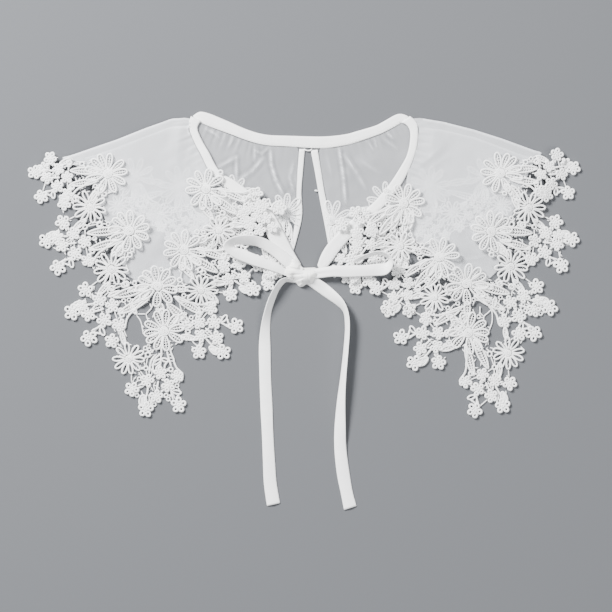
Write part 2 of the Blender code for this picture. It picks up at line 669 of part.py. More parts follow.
def fold_points(side):
    """Points of a front panel where it leaves the shoulder fold."""
    line = SHOULDER_FOLD[side][1:]
    points = []
    for (x0, y0), (x1, y1) in zip(line[:-1], line[1:]):
        length = math.hypot(x1 - x0, y1 - y0)
        across_x, across_y = (y1 - y0) / length, -(x1 - x0) / length
        if across_y > 0:
            across_x, across_y = -across_x, -across_y
        parts = max(1, round(length / FOLD_STEP))
        for part in range(parts):
            share = (part + 0.5) / parts
            points.append((x0 + (x1 - x0) * share + across_x * FOLD_WIDTH,
                           y0 + (y1 - y0) * share + across_y * FOLD_WIDTH))
    return points


def front_panel_loop(side):
    """Outline of a front panel: shoulder fold, outer edge, front edge and neck seam."""
    seam = seam_edge(NECK_BINDING_FRONT[side], BAND_STEP)
    return list(FRONT_PANEL[side]) + [p for p in seam if p[1] > FRONT_SEAM_END[side]][::-1]


# Lace outlines
def scalloped(v, u, radius, petals, depth, turn=0.0):
    """Field of a round flower with a scalloped rim: negative inside."""
    angle = np.arctan2(u, v) + turn
    rim = radius * (1 - depth + depth * np.abs(np.cos(angle * petals / 2)))
    return np.hypot(v, u) - rim


def tapered(v, u, v0, u0, v1, u1, half_start, half_end):
    """Field of a long leaf or stalk between two points."""
    run_v, run_u = v1 - v0, u1 - u0
    along = np.clip(((v - v0) * run_v + (u - u0) * run_u) / (run_v ** 2 + run_u ** 2), 0, 1)
    away = np.hypot(v - v0 - along * run_v, u - u0 - along * run_u)
    return away - (half_start + (half_end - half_start) * along)


def unit_frame(unit, hand):
    """Origin, V direction, U direction and scale of a lace unit."""
    x, y, tip_x, tip_y = unit[:4]
    length = math.hypot(tip_x - x, tip_y - y)
    v_axis = ((tip_x - x) / length, (tip_y - y) / length)
    u_axis = (-v_axis[1] * hand, v_axis[0] * hand)
    return (x, y), v_axis, u_axis, length / UNIT_LENGTH


def unit_place(unit, form, hand):
    """Middle of a named form of a lace unit."""
    (x0, y0), v_axis, u_axis, scale = unit_frame(unit, hand)
    places = {name: (v, u) for name, v, u, _ in ROSETTES}
    places["flower"] = (0.0, 0.0)
    places["small"] = (SMALL_FLOWER["v"], SMALL_FLOWER["u"])
    v, u = places[form][0] * scale, places[form][1] * scale
    return x0 + v * v_axis[0] + u * u_axis[0], y0 + v * v_axis[1] + u * u_axis[1]


def unit_field(x, y, unit, hand, slots):
    """Field of one lace unit."""
    (x0, y0), v_axis, u_axis, scale = unit_frame(unit, hand)
    v = ((x - x0) * v_axis[0] + (y - y0) * v_axis[1]) / scale
    u = ((x - x0) * u_axis[0] + (y - y0) * u_axis[1]) / scale
    flowers, left_out = unit[4:]
    rosettes = {name: (rv, ru, radius) for name, rv, ru, radius in ROSETTES
                if name not in left_out}
    shapes = []
    for rv, ru, radius in rosettes.values():
        shapes.append(scalloped(v - rv, u - ru, radius, ROSETTE_LOBES, ROSETTE_DEPTH))
    for start, end, half in STALKS:
        if start in rosettes and end in rosettes:
            (v0, u0, _), (v1, u1, _) = rosettes[start], rosettes[end]
            shapes.append(tapered(v, u, v0, u0, v1, u1, half, half))
    for leaf in LEAVES:
        shapes.append(tapered(v, u, *leaf))
    small = SMALL_FLOWER
    if flowers == "both":
        shapes.append(scalloped(v - small["v"], u - small["u"], small["radius"],
                                small["petals"], small["depth"]))
    if flowers != "none":
        shapes.append(scalloped(v, u, FLOWER_RADIUS / scale, FLOWER_PETALS, FLOWER_DEPTH))
    field = np.minimum.reduce(shapes)
    for slot_v, slot_u, half_length, half_width in slots:
        slot = np.hypot((v - slot_v) / half_length, (u - slot_u) / half_width) - 1
        field = np.maximum(field, -slot * half_width)
    return field * scale


def opened(field, radius, cell):
    """The field with slots narrower than twice the radius filled."""
    cells = int(radius / cell) + 1
    steps = [(row, column) for row in range(-cells, cells + 1)
             for column in range(-cells, cells + 1)
             if math.hypot(row, column) * cell <= radius]
    narrowed = np.minimum.reduce([shifted(field, *step) for step in steps])
    return np.maximum.reduce([shifted(narrowed, *step) for step in steps])


def contour_loops(field, xs, ys):
    """Closed outlines of the area where the field is negative."""
    crossings = {}
    links = {}

    def crossing(i0, j0, i1, j1):
        key = (i0, j0, i1, j1)
        if key not in crossings:
            share = field[i0, j0] / (field[i0, j0] - field[i1, j1])
            share = min(max(share, 0.05), 0.95)
            crossings[key] = (xs[j0] + (xs[j1] - xs[j0]) * share,
                              ys[i0] + (ys[i1] - ys[i0]) * share)
        return key

    solid = field < 0
    mixed = (solid[:-1, :-1].astype(int) + solid[1:, :-1] + solid[:-1, 1:] + solid[1:, 1:])
    for i, j in zip(*np.nonzero((mixed > 0) & (mixed < 4))):
        ring = ((i, j), (i, j + 1), (i + 1, j + 1), (i + 1, j))
        cuts = []
        for start, end in zip(ring, ring[1:] + ring[:1]):
            if solid[start] != solid[end]:
                key = crossing(*min(start, end), *max(start, end))
                cuts.append((key, solid[start]))
        leaving = [key for key, was_solid in cuts if was_solid]
        entering = [key for key, was_solid in cuts if not was_solid]
        if len(cuts) == 4 and cuts[0][1]:
            entering = [cuts[3][0], cuts[1][0]]
        elif len(cuts) == 4:
            entering = [cuts[0][0], cuts[2][0]]
        for start, end in zip(leaving, entering):
            links[start] = end
    loops = []
    while links:
        start, key = links.popitem()
        loop = [crossings[start]]
        while key != start:
            loop.append(crossings[key])
            key = links.pop(key)
        loops.append(loop)
    return loops


def loop_area(loop):
    """Signed area of a closed loop."""
    points = np.array(loop)
    following = np.roll(points, -1, axis=0)
    return 0.5 * float((points[:, 0] * following[:, 1] - following[:, 0] * points[:, 1]).sum())


def simplified(points, tolerance):
    """An open line with the points left out that lie within the tolerance of it."""
    start, end = np.array(points[0]), np.array(points[-1])
    run = end - start
    length = math.hypot(*run) or 1e-9
    away = [abs(run[0] * (p[1] - start[1]) - run[1] * (p[0] - start[0])) / length
            for p in points[1:-1]]
    if not away or max(away) < tolerance:
        return [points[0], points[-1]]
    split = int(np.argmax(away)) + 1
    return (simplified(points[:split + 1], tolerance)[:-1]
            + simplified(points[split:], tolerance))


def simple_loop(loop, tolerance):
    """A closed loop with few points."""
    points = np.array(loop)
    far = int(np.argmax(np.hypot(*(points - points[0]).T)))
    first = simplified(loop[:far + 1], tolerance)
    second = simplified(loop[far:] + [loop[0]], tolerance)
    return first[:-1] + second[:-1]


def lace_loops(units, hand, links, slots=UNIT_SLOTS, extras=(), gaps=(), clear_of=()):
    """Outline and gaps of a lace border made of units."""
    corners = np.array([unit[:2] for unit in units] + [unit[2:4] for unit in units])
    low, high = corners.min(axis=0) - LACE_MARGIN, corners.max(axis=0) + LACE_MARGIN
    xs = np.arange(low[0], high[0], LACE_CELL)
    ys = np.arange(low[1], high[1], LACE_CELL)
    x, y = np.meshgrid(xs, ys)
    field = np.minimum.reduce([unit_field(x, y, unit, hand, slots) for unit in units])
    for start, start_form, end, end_form, half_width in links:
        start_x, start_y = unit_place(units[start], start_form, hand)
        end_x, end_y = unit_place(units[end], end_form, hand)
        web = tapered(x, y, start_x, start_y, end_x, end_y, half_width, half_width)
        field = np.minimum(field, web)
    for rosette_x, rosette_y, radius, stalk_x, stalk_y in extras:
        rosette = scalloped(x - rosette_x, y - rosette_y, radius, ROSETTE_LOBES, ROSETTE_DEPTH)
        stalk = tapered(x, y, rosette_x, rosette_y, stalk_x, stalk_y, SINGLE_STALK, SINGLE_STALK)
        field = np.minimum(field, np.minimum(rosette, stalk))
    field = opened(field, CLOSING, LACE_CELL)
    for gap_x, gap_y, half_length, half_width, turn in gaps:
        along_x, along_y = math.cos(math.radians(turn)), math.sin(math.radians(turn))
        along = ((x - gap_x) * along_x + (y - gap_y) * along_y) / half_length
        across = ((y - gap_y) * along_x - (x - gap_x) * along_y) / half_width
        field = np.maximum(field, (1 - np.hypot(along, across)) * half_width)
    for loop in clear_of:
        away = edge_distance(x, y, [loop])
        signed = np.where(inside(x, y, [loop]), -away, away)
        field = np.maximum(field, EDGE_CLEARANCE - signed)
    loops = contour_loops(field, xs, ys)
    outline = max(loops, key=lambda loop: abs(loop_area(loop)))
    outline_sign = math.copysign(1, loop_area(outline))
    kept = [outline]
    for loop in loops:
        is_gap = loop_area(loop) * outline_sign < 0
        if is_gap and abs(loop_area(loop)) > SMALLEST_GAP:
            if inside(np.array(loop[0][0]), np.array(loop[0][1]), [outline]):
                kept.append(loop)
    return [simple_loop(loop, OUTLINE_TOLERANCE) for loop in kept]


def petal_points(units, hand):
    """Middle and petal tops of the large flowers, which the relief stands on."""
    points = []
    for unit in units:
        if unit[4] == "none":
            continue
        (x0, y0), v_axis, u_axis, _ = unit_frame(unit, hand)
        points.append((x0, y0))
        for petal in range(FLOWER_PETALS):
            angle = 2 * math.pi * petal / FLOWER_PETALS
            v = FLOWER_RADIUS * PETAL_TOP * math.cos(angle)
            u = FLOWER_RADIUS * PETAL_TOP * math.sin(angle)
            points.append((x0 + v * v_axis[0] + u * u_axis[0], y0 + v * v_axis[1] + u * u_axis[1]))
    return points


def petal_relief(tops):
    """Extra thickness at the petal tops."""
    def relief(x, y):
        extra = np.zeros_like(x)
        for top_x, top_y in tops:
            extra = np.where(np.hypot(x - top_x, y - top_y) < 0.2, PETAL_RELIEF, extra)
        return extra
    return relief


def add_knot(material, collection):
    """The bow's knot: a soft pad on the knot's outline."""
    form = bmesh.new()
    middle = np.mean(KNOT_OUTLINE, axis=0)
    rings = []
    for height, share in KNOT_RINGS:
        rings.append([
            form.verts.new((middle[0] + (x - middle[0]) * share,
                            middle[1] + (y - middle[1]) * share, height))
            for x, y in KNOT_OUTLINE
        ])
    for ring, above in zip(rings[:-1], rings[1:]):
        for k in range(len(ring)):
            following = (k + 1) % len(ring)
            form.faces.new((ring[k], ring[following], above[following], above[k]))
    form.faces.new(rings[0][::-1])
    form.faces.new(rings[-1])
    bmesh.ops.recalc_face_normals(form, faces=form.faces)
    return add_object("bow_knot", form, material, collection)


def main():
    """Build the layers from the surface up."""
    collection, materials = start_scene()
    organza, thread, ribbon = (materials[name] for name in MATERIALS)
    surface = np.zeros_like(GROUND_X)
    hands = {"left": 1, "right": -1}

    stack = surface
    for side, hand in hands.items():
        loops = lace_loops(BACK_UNITS[side], hand, BACK_LINKS, slots=(),
                           clear_of=(slit_loop(side),))
        add_sheet(f"back_lace_{side}", loops, surface, LACE_WALL, thread, collection)
        stack = add_to_stack(stack, loops, surface, LACE_WALL)

    underside = lie_over(stack) + crease_heights(BACK_CREASES)
    for side in hands:
        loop = back_panel_loop(side)
        add_sheet(f"back_panel_{side}", [loop], underside, ORGANZA_WALL, organza, collection)
        stack = add_to_stack(stack, [loop], underside, ORGANZA_WALL)
    for side in hands:
        add_strip(f"slit_binding_{side}", SLIT_BINDING[side], surface, BINDING_WALL,
                  SLIT_STEP, ribbon, collection)
        binding = strip_loop(SLIT_BINDING[side], SLIT_STEP)
        stack = add_to_stack(stack, [binding], surface, BINDING_WALL)
    add_strip("neck_binding_back", NECK_BINDING_BACK, surface, BINDING_WALL, BAND_STEP,
              ribbon, collection)
    binding = strip_loop(NECK_BINDING_BACK, BAND_STEP)
    stack = add_to_stack(stack, [binding], surface, BINDING_WALL)

    base = lie_over(stack)
    for side in hands:
        folded = fold_down(base + crease_heights(FRONT_CREASES), SHOULDER_FOLD[side])
        loop = front_panel_loop(side)
        add_sheet(f"front_panel_{side}", [loop], folded, ORGANZA_WALL, organza, collection,
                  points=fold_points(side))
        stack = add_to_stack(stack, [loop], folded, ORGANZA_WALL)
        binding_base = fold_down(base, SHOULDER_FOLD[side])
        add_strip(f"neck_binding_front_{side}", NECK_BINDING_FRONT[side], binding_base,
                  BINDING_WALL, BAND_STEP, ribbon, collection)
        binding = strip_loop(NECK_BINDING_FRONT[side], BAND_STEP)
        stack = add_to_stack(stack, [binding], binding_base, BINDING_WALL)

    underside = lie_over(stack)
    for side, hand in hands.items():
        loops = lace_loops(FRONT_UNITS[side], hand, FRONT_LINKS,
                           extras=EXTRA_ROSETTES[side], gaps=GAPS[side])
        tops = petal_points(FRONT_UNITS[side], hand)
        add_sheet(f"front_lace_{side}", loops, underside, LACE_WALL, thread, collection,
                  points=tops, relief=petal_relief(tops))
        stack = add_to_stack(stack, loops, underside, LACE_WALL + PETAL_RELIEF)

    add_knot(ribbon, collection)
    for side in hands:
        add_strip(f"tie_tail_{side}", TIE_TAIL[side], surface, RIBBON_WALL, RIBBON_STEP,
                  ribbon, collection, upright=False)
    underside = lie_over(stack)
    for side in hands:
        add_strip(f"bow_loop_{side}", BOW_LOOP[side], underside, RIBBON_WALL, RIBBON_STEP,
                  ribbon, collection, upright=False)


main()
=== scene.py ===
"""Looks of a sheer lace collar that lies flat with its neck ribbons tied in a bow.

The tables are in millimetres: X to the right, Y towards the back neck, Z up from the floor.
Left and right are as seen from above with the bow in front.
"""

import math

import bpy
import numpy as np
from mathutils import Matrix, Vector
from mathutils.bvhtree import BVHTree
from mathutils.geometry import barycentric_transform, delaunay_2d_cdt
from mathutils.kdtree import KDTree


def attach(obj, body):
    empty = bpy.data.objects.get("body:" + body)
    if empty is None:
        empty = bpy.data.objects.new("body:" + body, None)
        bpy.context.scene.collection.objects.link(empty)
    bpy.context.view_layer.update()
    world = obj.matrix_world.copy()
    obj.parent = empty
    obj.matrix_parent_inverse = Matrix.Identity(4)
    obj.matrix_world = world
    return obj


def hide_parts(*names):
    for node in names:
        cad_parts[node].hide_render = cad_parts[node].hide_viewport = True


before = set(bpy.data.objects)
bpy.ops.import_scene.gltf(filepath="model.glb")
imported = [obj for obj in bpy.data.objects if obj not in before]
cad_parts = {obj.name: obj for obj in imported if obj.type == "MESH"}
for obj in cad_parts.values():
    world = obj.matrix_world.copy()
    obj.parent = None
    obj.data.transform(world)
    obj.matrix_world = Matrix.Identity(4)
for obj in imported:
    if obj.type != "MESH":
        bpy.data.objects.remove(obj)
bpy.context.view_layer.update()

MM = 0.001
TABLE_TO_FRAME = (2.13, 0.3)   # what is added to a table's X and Y to get the frame's millimetres
SIDES = {"left": 1, "right": -1}
FACING = 0.3               # how much of a face's normal points up or down on a skin
ON_SKIN = 0.0001           # distance in metres within which a place is on a skin
CLOTH_LAYER = "cloth"      # texture places: millimetres on cords and tapes; on panels, density that includes the painted highlight and painted shade of the folds

# Camera: straight down, framed as in the photograph
VIEW_CENTRE = (1.72, 3.99)
VIEW_WIDTH = 501.8
CAMERA_HEIGHT = 3.2
SENSOR_WIDTH = 36.0

# Lace thread
CORD = 0.8                 # radius of the outline cords
RUNG = 0.46                # radius of the threads that cross them
BRIDE = 0.48               # radius of the single threads between motifs
PETAL_CORD = 0.74          # radius of the cord round a petal
LOBE_CORD = 0.92           # radius of the cord round a rosette's lobes
CORD_SIDES = 6
END_TAPER = 0.55           # share of its thickness that a cord keeps at its ends
LEAF_BLUNT = 0.75          # the lower, the blunter the leaves
LEAF_RUNG_STEP = 2.1
ROSETTE_LOBES = 5

# Lace motif: V runs out from the large flower's middle to the tip, U across it
MOTIF_LENGTH = 68.0
FLOWER_RADIUS = 17.6
FLOWER_PETALS = (-172.5, -141.5, -98.5, -66.5, -43.5, -11.5, 20.5, 72.5, 115.0, 152.5)
FLOWER_RUNGS = (0.32, 0.49, 0.66, 0.83)    # where threads cross a petal, of its length
FLOWER_PETAL = (2.6, 0.6)  # half width and relief of its petals
JOIN_REACH = 5.5           # widest space that a joining thread spans
SMALL_FLOWER = (29.7, -23.3)
SMALL_RADIUS = 14.2
SMALL_PETALS = (-158.5, -117.5, -74.5, -40.5, -7.5, 24.5, 57.5, 98.5, 128.5, 157.5)
SMALL_PETAL = (1.7, 0.25)
# name, v, u, radius as the motif was drawn
ROSETTES = (
    ("side_low", 53.9, -14.7, 6.4), ("mid_1", 43.8, -3.7, 5.9), ("mid_2", 35.1, 5.2, 5.8),
    ("tip", 67.4, 0.7, 6.8), ("tip_inner", 54.8, 6.6, 6), ("mid_3", 43.6, 14.1, 6),
    ("side_high", 57.3, 26.3, 6.8), ("mid_4", 34.5, 19.7, 5.6),
)
# Where the rosettes lie in most repeats of the motif
USUAL_PLACES = {
    "side_low": (53.5, -13.5), "mid_1": (46.0, -3.0), "mid_2": (37.4, 3.8),
    "tip": (68.3, -0.3), "tip_inner": (56.7, 4.7), "mid_3": (47.0, 12.7),
    "side_high": (62.0, 22.3), "mid_4": (36.7, 19.8),
}
# v, u, radius of the small rings
RINGS = (
    (22.8, -8.4, 2), (34.1, -7.4, 1.7), (1.5, 19.5, 1.8), (30.1, 13, 1.7),
)
# v, u, half length, half width, direction in degrees from V towards U
EYELETS = (
    (47.3, 22.4, 3.6, 1.45, 94, ("mid_3", "side_high")),
)
BARE_EYELETS = (
    (23.7, 6.5, 2.9, 1.4, 86, ()), (26.8, 0.5, 3.6, 1.4, 137, ()),
)
# radius, rosettes that it runs to, then its points
STALKS = (
    (CORD, ("mid_4",), ((7.5, 5.9), (13, 7.9), (17.6, 10.6), (20.9, 13.1), (24, 14.5), (27.6, 17.3),
        (29.5, 20.4), (31.6, 23.5), (35.4, 24.3))),
    (CORD, ("mid_3", "side_high"), ((45.8, 17), (49.7, 18.6), (54.3, 21.1))),
    (CORD, ("mid_3", "side_high"), ((48.4, 24.8), (51.4, 23.5), (54.5, 23.5))),
    (CORD, ("mid_1", "tip"), ((48.4, -2), (52.7, -1.5), (56.2, -1.4), (62, -2))),
    (CORD, ("tip_inner", "tip"), ((57.6, 4.4), (60.9, 3.7), (64.2, 4.5))),
    (RUNG, ("tip_inner", "tip"), ((54.8, 0.1), (58.8, 1.6), (62.4, 1.4))),
    (RUNG, ("tip_inner", "tip"), ((58.8, 1.6), (60.9, 3.7))),
    (CORD, ("tip_inner",), ((42, 5.2), (46.3, 5.4), (50.2, 5.9))),
    (RUNG, ("tip_inner",), ((43, 3), (46.3, 2.3), (50.2, 4.1))),
    (RUNG, ("tip_inner",), ((46.3, 2.3), (46.3, 5.4))), (CORD, ("mid_3",), ((40.1, 7.4), (40.6, 10.1))),
    (CORD, ("side_low",), ((49, -9.8), (47.5, -6.5))),
    (CORD, ("side_low",), ((51.9, -10.4), (49.8, -6.5))),
    (RUNG, (), ((38.5, -12.4), (41, -10.4), (43.3, -7.6))), (RUNG, (), ((21, -6.8), (18.6, -4.6))),
    (RUNG, (), ((25.1, -8.3), (32.3, -7.7))), (RUNG, (), ((34.4, -5.5), (34.8, -3.7))),
    (RUNG, (), ((34, -9.3), (34.5, -12.2))), (RUNG, (), ((29.8, 11), (30.8, 9.2))),
    (RUNG, (), ((31.8, 14), (34.2, 15.5))), (RUNG, ("side_low",), ((45.9, -15.2), (48.5, -15.2))),
)
# Stalks where the motif has no leaves
BARE_STALKS = (
    (CORD, (), ((5.6, -0.3), (12.4, 0.7), (18.2, 2), (24.1, 2.9), (30, 3.8))),
    (CORD, (), ((15.4, 5.9), (20.8, 8.7), (24.5, 10.9), (27.9, 12.9))),
    (CORD, (), ((22.2, -2.8), (27.1, -4.6), (32.3, -4.4), (37.4, -3.8))),
    (CORD, (), ((19.1, 1.9), (24, -1.5), (29.1, -2.3), (34.1, -1.2), (37, 0.8))),
    (RUNG, (), ((32.3, -4.4), (36, -1.7), (40.4, -1.8))), (RUNG, (), ((24, -1.5), (26.8, -3.7))),
    (RUNG, (), ((29.1, -2.3), (31.4, -4.3))), (RUNG, (), ((32.9, -1.5), (34.8, -3.7))),
    (RUNG, (), ((18.4, 7.5), (18.4, 11))), (RUNG, (), ((21, 9), (20.6, 12.8))),
    (RUNG, (), ((23.5, 10.3), (22.8, 14))), (CORD, (), ((27.9, 3.5), (31.3, 1), (33.4, 1.2))),
    (CORD, (), ((24.7, 8.9), (27.3, 7.5), (30.8, 7.6))),
)

# Leaves of the usual repeats: v, u at the foot, v, u at the tip, half width
LEAVES = (
    (7, -2, 33, -1.5, 3), (8, 6.5, 33, 12, 2.6), (33, -14, 44, -7.5, 1.9),
)
# Solid fan of cords beside the tip: v, u, half length, half width, direction
PADDLE = (60.8, -3.4, 4.6, 3.0, 12.0)

# Motifs of the front lace: flower x, y, tip x, y, which flowers it has, rosettes left out
FRONT_MOTIFS = {
    "left": (
        (-163, 112, -222.5, 113, "large", ()), (-144.5, 65, -212.5, 57, "both", ()),
        (-122, 19.5, -191.5, -1.5, "both", ()), (-116.5, -16.5, -132.5, -81.5, "both", ()),
        (-118.5, 12.5, -68.5, -33.5, "none", ()), (-100.5, 49.5, -44, 18, "both", ()),
        (-82.5, 99.5, -29.5, 63, "both", ("tip", "tip_inner")),
    ),
    "right": (
        (159, 112.5, 218.5, 116.5, "large", ()), (151, 64.5, 217, 58, "both", ()),
        (131, 21.5, 199, 2, "both", ()), (132.5, -18, 160.5, -78, "both", ()),
        (138, 4, 88.5, -42.5, "none", ()), (108.5, 43.5, 67.5, 0.5, "both", ()),
        (80, 87.6, 37, 41, "both", ("side_high",)),
    ),
}
# Motifs whose rosettes lie as they were drawn
AS_DRAWN = (("left", 3),)
# Bands that join the motifs: motif, its form, other motif, its form, half width
FRONT_LINKS = (
    (1, "small", 0, "flower", 5), (1, "small", 0, "mid_4", 2.5), (2, "small", 1, "flower", 5),
    (2, "small", 1, "mid_4", 2.5), (3, "flower", 2, "flower", 5), (3, "small", 2, "mid_4", 1.6),
    (4, "mid_2", 3, "flower", 4), (5, "small", 2, "flower", 3.5), (5, "small", 4, "mid_4", 2.5),
    (6, "small", 5, "flower", 5), (6, "small", 5, "mid_4", 2.5),
)
STALK_SPACE = 1.3          # half the space between the two threads of a rosette's stalk
# Single rosettes: x, y, radius, then x, y where their stalk starts
STALKED_ROSETTES = {
    "left": (
        (-198.5, 87.5, 5.9, -187, 92), (-159.5, -25, 6.2, -152, -32),
    ),
    "right": (
        (196.5, 94.5, 5.9, 186, 92), (174, -19.5, 6.2, 166, -28),
    ),
}
# More rosettes, which lie close together: x, y, radius
LOOSE_ROSETTES = {
    "left": (
        (-41, 95.5, 5.9), (-23, 84, 6.1), (-35.5, 86.5, 5.6), (-46.5, 84, 5.2), (-33.5, 75.5, 5.4),
        (-30, 30.5, 6), (-46, 70.5, 5.8), (-38.5, 66, 5.6), (-40.5, 76.5, 5.2), (-51.5, 77.5, 5.6),
        (-27.5, 68, 4.8), (-198.5, 91, 5.2), (-214.5, 117.5, 4.6), (-204, 61, 5), (-184, 4.5, 5),
    ),
    "right": (
        (40.5, 80, 6), (29, 70.5, 6.2), (47.5, 79, 5.4), (41, 57.5, 6), (53.5, 66.5, 5.6),
        (51, 24.5, 6.2), (39.5, 26.5, 5.2), (67, 2.5, 6.4), (84, -0.5, 5.6), (212.5, 121, 4.6),
        (206.5, 62, 5), (190, 8, 5), (196, 97, 5.4),
    ),
}
# More leaves: foot x, y, tip x, y, half width
LOOSE_LEAVES = {
    "left": (
        (-128.3, 20.9, -146.4, 16, 2.2), (-128.3, 16, -143.9, 5.3, 2.2), (-144.5, 5.8, -139, -3.7, 1.5),
        (-163, 11.4, -152.1, 16, 1.3), (-166, 103, -179, 88, 2.4), (-171, 97, -178, 82, 2),
        (-150, 57, -160, 44, 2.2), (-104, 40, -92, 26, 2.2), (-88, 90, -76, 74, 2.2),
        (-83, 17, -72, 6, 2), (-110, -10, -98, -2, 2),
    ),
    "right": (
        (138, 23, 154, 18, 2.2), (138, 18, 151.5, 7, 2.2), (155, 11, 153.4, 2.4, 1.6),
        (162, 104, 176, 88, 2.4), (168, 98, 174, 82, 2), (156, 56, 166, 43, 2.2),
        (112, 34, 99, 19, 2.2), (84, 80, 79, 62, 2.2), (87, 82, 84, 66, 2), (76, 82, 70, 66, 2.2),
        (126, -10, 114, -3, 2),
    ),
}
# More rings: x, y, radius
LOOSE_RINGS = {
    "left": (
        (-159.5, 18, 2), (-147.6, 21.7, 2), (-152.1, -0.4, 2), (-194.3, 120.9, 2), (-192.3, 101.3, 2.1),
        (-169.3, 70.1, 2.1), (-86.9, 33.2, 2.1), (-88.2, -3.3, 1.9),
    ),
    "right": (
        (188.5, 122, 2), (168, 70.5, 2.1), (177.5, 70, 2), (168, 19.5, 2), (158.5, 21.5, 2),
        (99, 24.5, 2.1), (91.5, 18, 2.1), (97, -9, 1.9),
    ),
}
# Filling of the front lace, tried at places about a step apart
FILL_ROUNDS = 2
FILL_STEP = 1.7
FILL_SHIFT = 0.6           # how far a place may be off the even grid
FILL_APART = 3.4           # least distance between filled places
FILL_SPACE = 1.75          # least space round a filled place
FILL_RING = 2.35           # least space for a ring
FILL_REACH = 5.5           # how far off lace may lie all round

# Single threads across the wide gaps
BRIDES = {
    "left": (
        ((-149.6, -15.2), (-148.8, -18.4), (-147.2, -21.7)),
        ((-139.4, -3.7), (-135.7, -9.4), (-133.6, -20)), ((-139, -2.9), (-131.6, -2.9)),
        ((-131.6, -2.9), (-127.1, 2), (-125.6, 7.5)), ((-131.6, -2.9), (-130, -7.8), (-127.5, -10.8)),
        ((-104.6, 12), (-104, 6), (-102.1, -1.6)), ((-104, 6), (-97.6, 8.6)),
        ((-118, 2.9), (-119.7, -1.2)), ((-160, 49), (-152, 53), (-150, 45)),
        ((-97, -19.6), (-92, -27), (-86, -30.6)),
    ),
    "right": (
        ((154, 4.6), (151.7, 1), (148.2, -2.4), (145.5, -4.9), (145.3, -9.5)),
        ((142.2, 3.4), (142.5, -2), (145.5, -4.9)),
        ((151.7, 1), (152.4, -4), (152, -10), (149.6, -16.8)),
        ((163.2, -11), (164.2, -16.8), (162.6, -22.4)), ((120, 4), (117.6, -0.4), (118.4, -6)),
        ((106.5, -3), (111, -6.5)),
    ),
}
# Wide gaps in the lace: x, y, half length, half width, turn in degrees
GAPS = {
    "left": (
        (-142, -12.5, 11.5, 7.5, 70), (-134.5, 4, 6.5, 5, 0), (-105.5, 6, 6, 5, 60),
        (-98, 2.5, 3.6, 3, 0), (-155.5, 49, 7.5, 4.6, 50), (-96, -19, 5, 2.8, 20),
    ),
    "right": (
        (157, -13.5, 10, 6, 100), (147.5, 1.5, 5.2, 4.8, 0), (124, 0.5, 5.6, 4.4, 120),
        (112, -22, 5, 2.8, 160), (110, -5, 4, 2.8, 150),
    ),
}
# Motifs of the back lace, with the same columns
BACK_MOTIFS = {
    "left": (
        (-17, 79, -31, 22, "large", ("side_high",)), (-61, 94.5, -68, 42, "both", ()),
        (-103.5, 101.5, -101, 50, "both", ()), (-140.5, 108.5, -134, 62, "both", ("side_low",)),
    ),
    "right": (
        (20.5, 73.5, 40, 19, "large", ("side_high",)), (66, 88.5, 78, 38, "both", ()),
        (101.5, 101.5, 104, 50, "both", ()), (146.5, 108.5, 140, 62, "both", ("side_low",)),
    ),
}
BACK_LINKS = tuple(
    (motif, form, motif - 1, "flower", half_width)
    for motif in (1, 2, 3) for form, half_width in (("small", 4.0), ("flower", 3.0))
)
LACES = {"back": (BACK_MOTIFS, BACK_LINKS), "front": (FRONT_MOTIFS, FRONT_LINKS)}

# Tapes, row by row: first edge x, y, then second edge x, y
NECK_BINDING_BACK = (
    (-93.2, 159.6, -90.2, 154.9), (-87.5, 163, -84.9, 153), (-79.5, 161.5, -76.7, 149.6),
    (-66, 155.8, -63.5, 144.7), (-49, 148.4, -49.6, 139.4), (-34, 144.4, -34.8, 135.7),
    (-16, 143.3, -16, 134.3), (11, 142.6, 11, 132.8), (30.8, 144.4, 31.6, 135.4),
    (41.4, 147, 43.9, 138.7), (56.2, 151.3, 59.5, 144.1), (63.6, 155.1, 67.7, 148),
    (72.6, 160.3, 74.2, 151.7), (78, 161.3, 78.3, 154.3), (84.5, 159, 82, 155.4),
)
NECK_BINDING_FRONT = {
    "left": (
        (-86.4, 155.4, -94.6, 159.2), (-88.7, 151.6, -96.2, 154.6), (-89, 147.6, -95.8, 148),
        (-84.9, 138.2, -91.6, 137.2), (-79.5, 128.7, -86.5, 127.5), (-74.2, 118.5, -81.6, 117.3),
        (-68.5, 112, -76.4, 110.5), (-59.5, 107, -65.8, 100.6), (-50.4, 100.5, -56.5, 93.5),
        (-39.8, 92.2, -47, 84.8), (-30, 83.2, -39, 77), (-22.6, 72.5, -34.6, 67),
        (-16, 59.5, -28.2, 54), (-9.5, 46.5, -20.6, 44.5), (-4.6, 38.3, -12.8, 32),
    ),
    "right": (
        (77.4, 154.2, 84.8, 159.4), (82, 151.8, 89.6, 155.2), (84.8, 147, 91.4, 148.6),
        (84.5, 137.4, 90.6, 135.7), (81.6, 125.9, 87.4, 124.2), (74.2, 112.8, 82.4, 111.8),
        (67.6, 103, 75.8, 100.4), (56.2, 89.8, 65.2, 87.4), (45.5, 80.8, 53.8, 75.8),
        (35, 72.6, 44, 65.2), (25.8, 63.6, 34.8, 57.8), (17.4, 54.6, 26.6, 48.8),
        (11.9, 45.8, 20.2, 39.8), (8.9, 37.2, 12.2, 30.5),
    ),
}
SLIT_BINDING = {
    "left": (
        (-1.4, 132.4, -6.1, 132.4), (-2.9, 112.8, -7.4, 112.8), (-4.1, 97.2, -8.2, 97.2),
        (-3.7, 77.5, -8.9, 77.5), (-8, 57.8, -12.3, 56.2), (-11.9, 44.7, -16.4, 46.3),
    ),
    "right": (
        (3.4, 131.4, 9.3, 131.8), (6.6, 114.4, 11.9, 114.4), (9.3, 99.6, 14.7, 98),
        (13.5, 77.5, 18.9, 78.3), (17.5, 55.4, 22.6, 57.8), (20.1, 44.7, 25, 46.3),
    ),
}
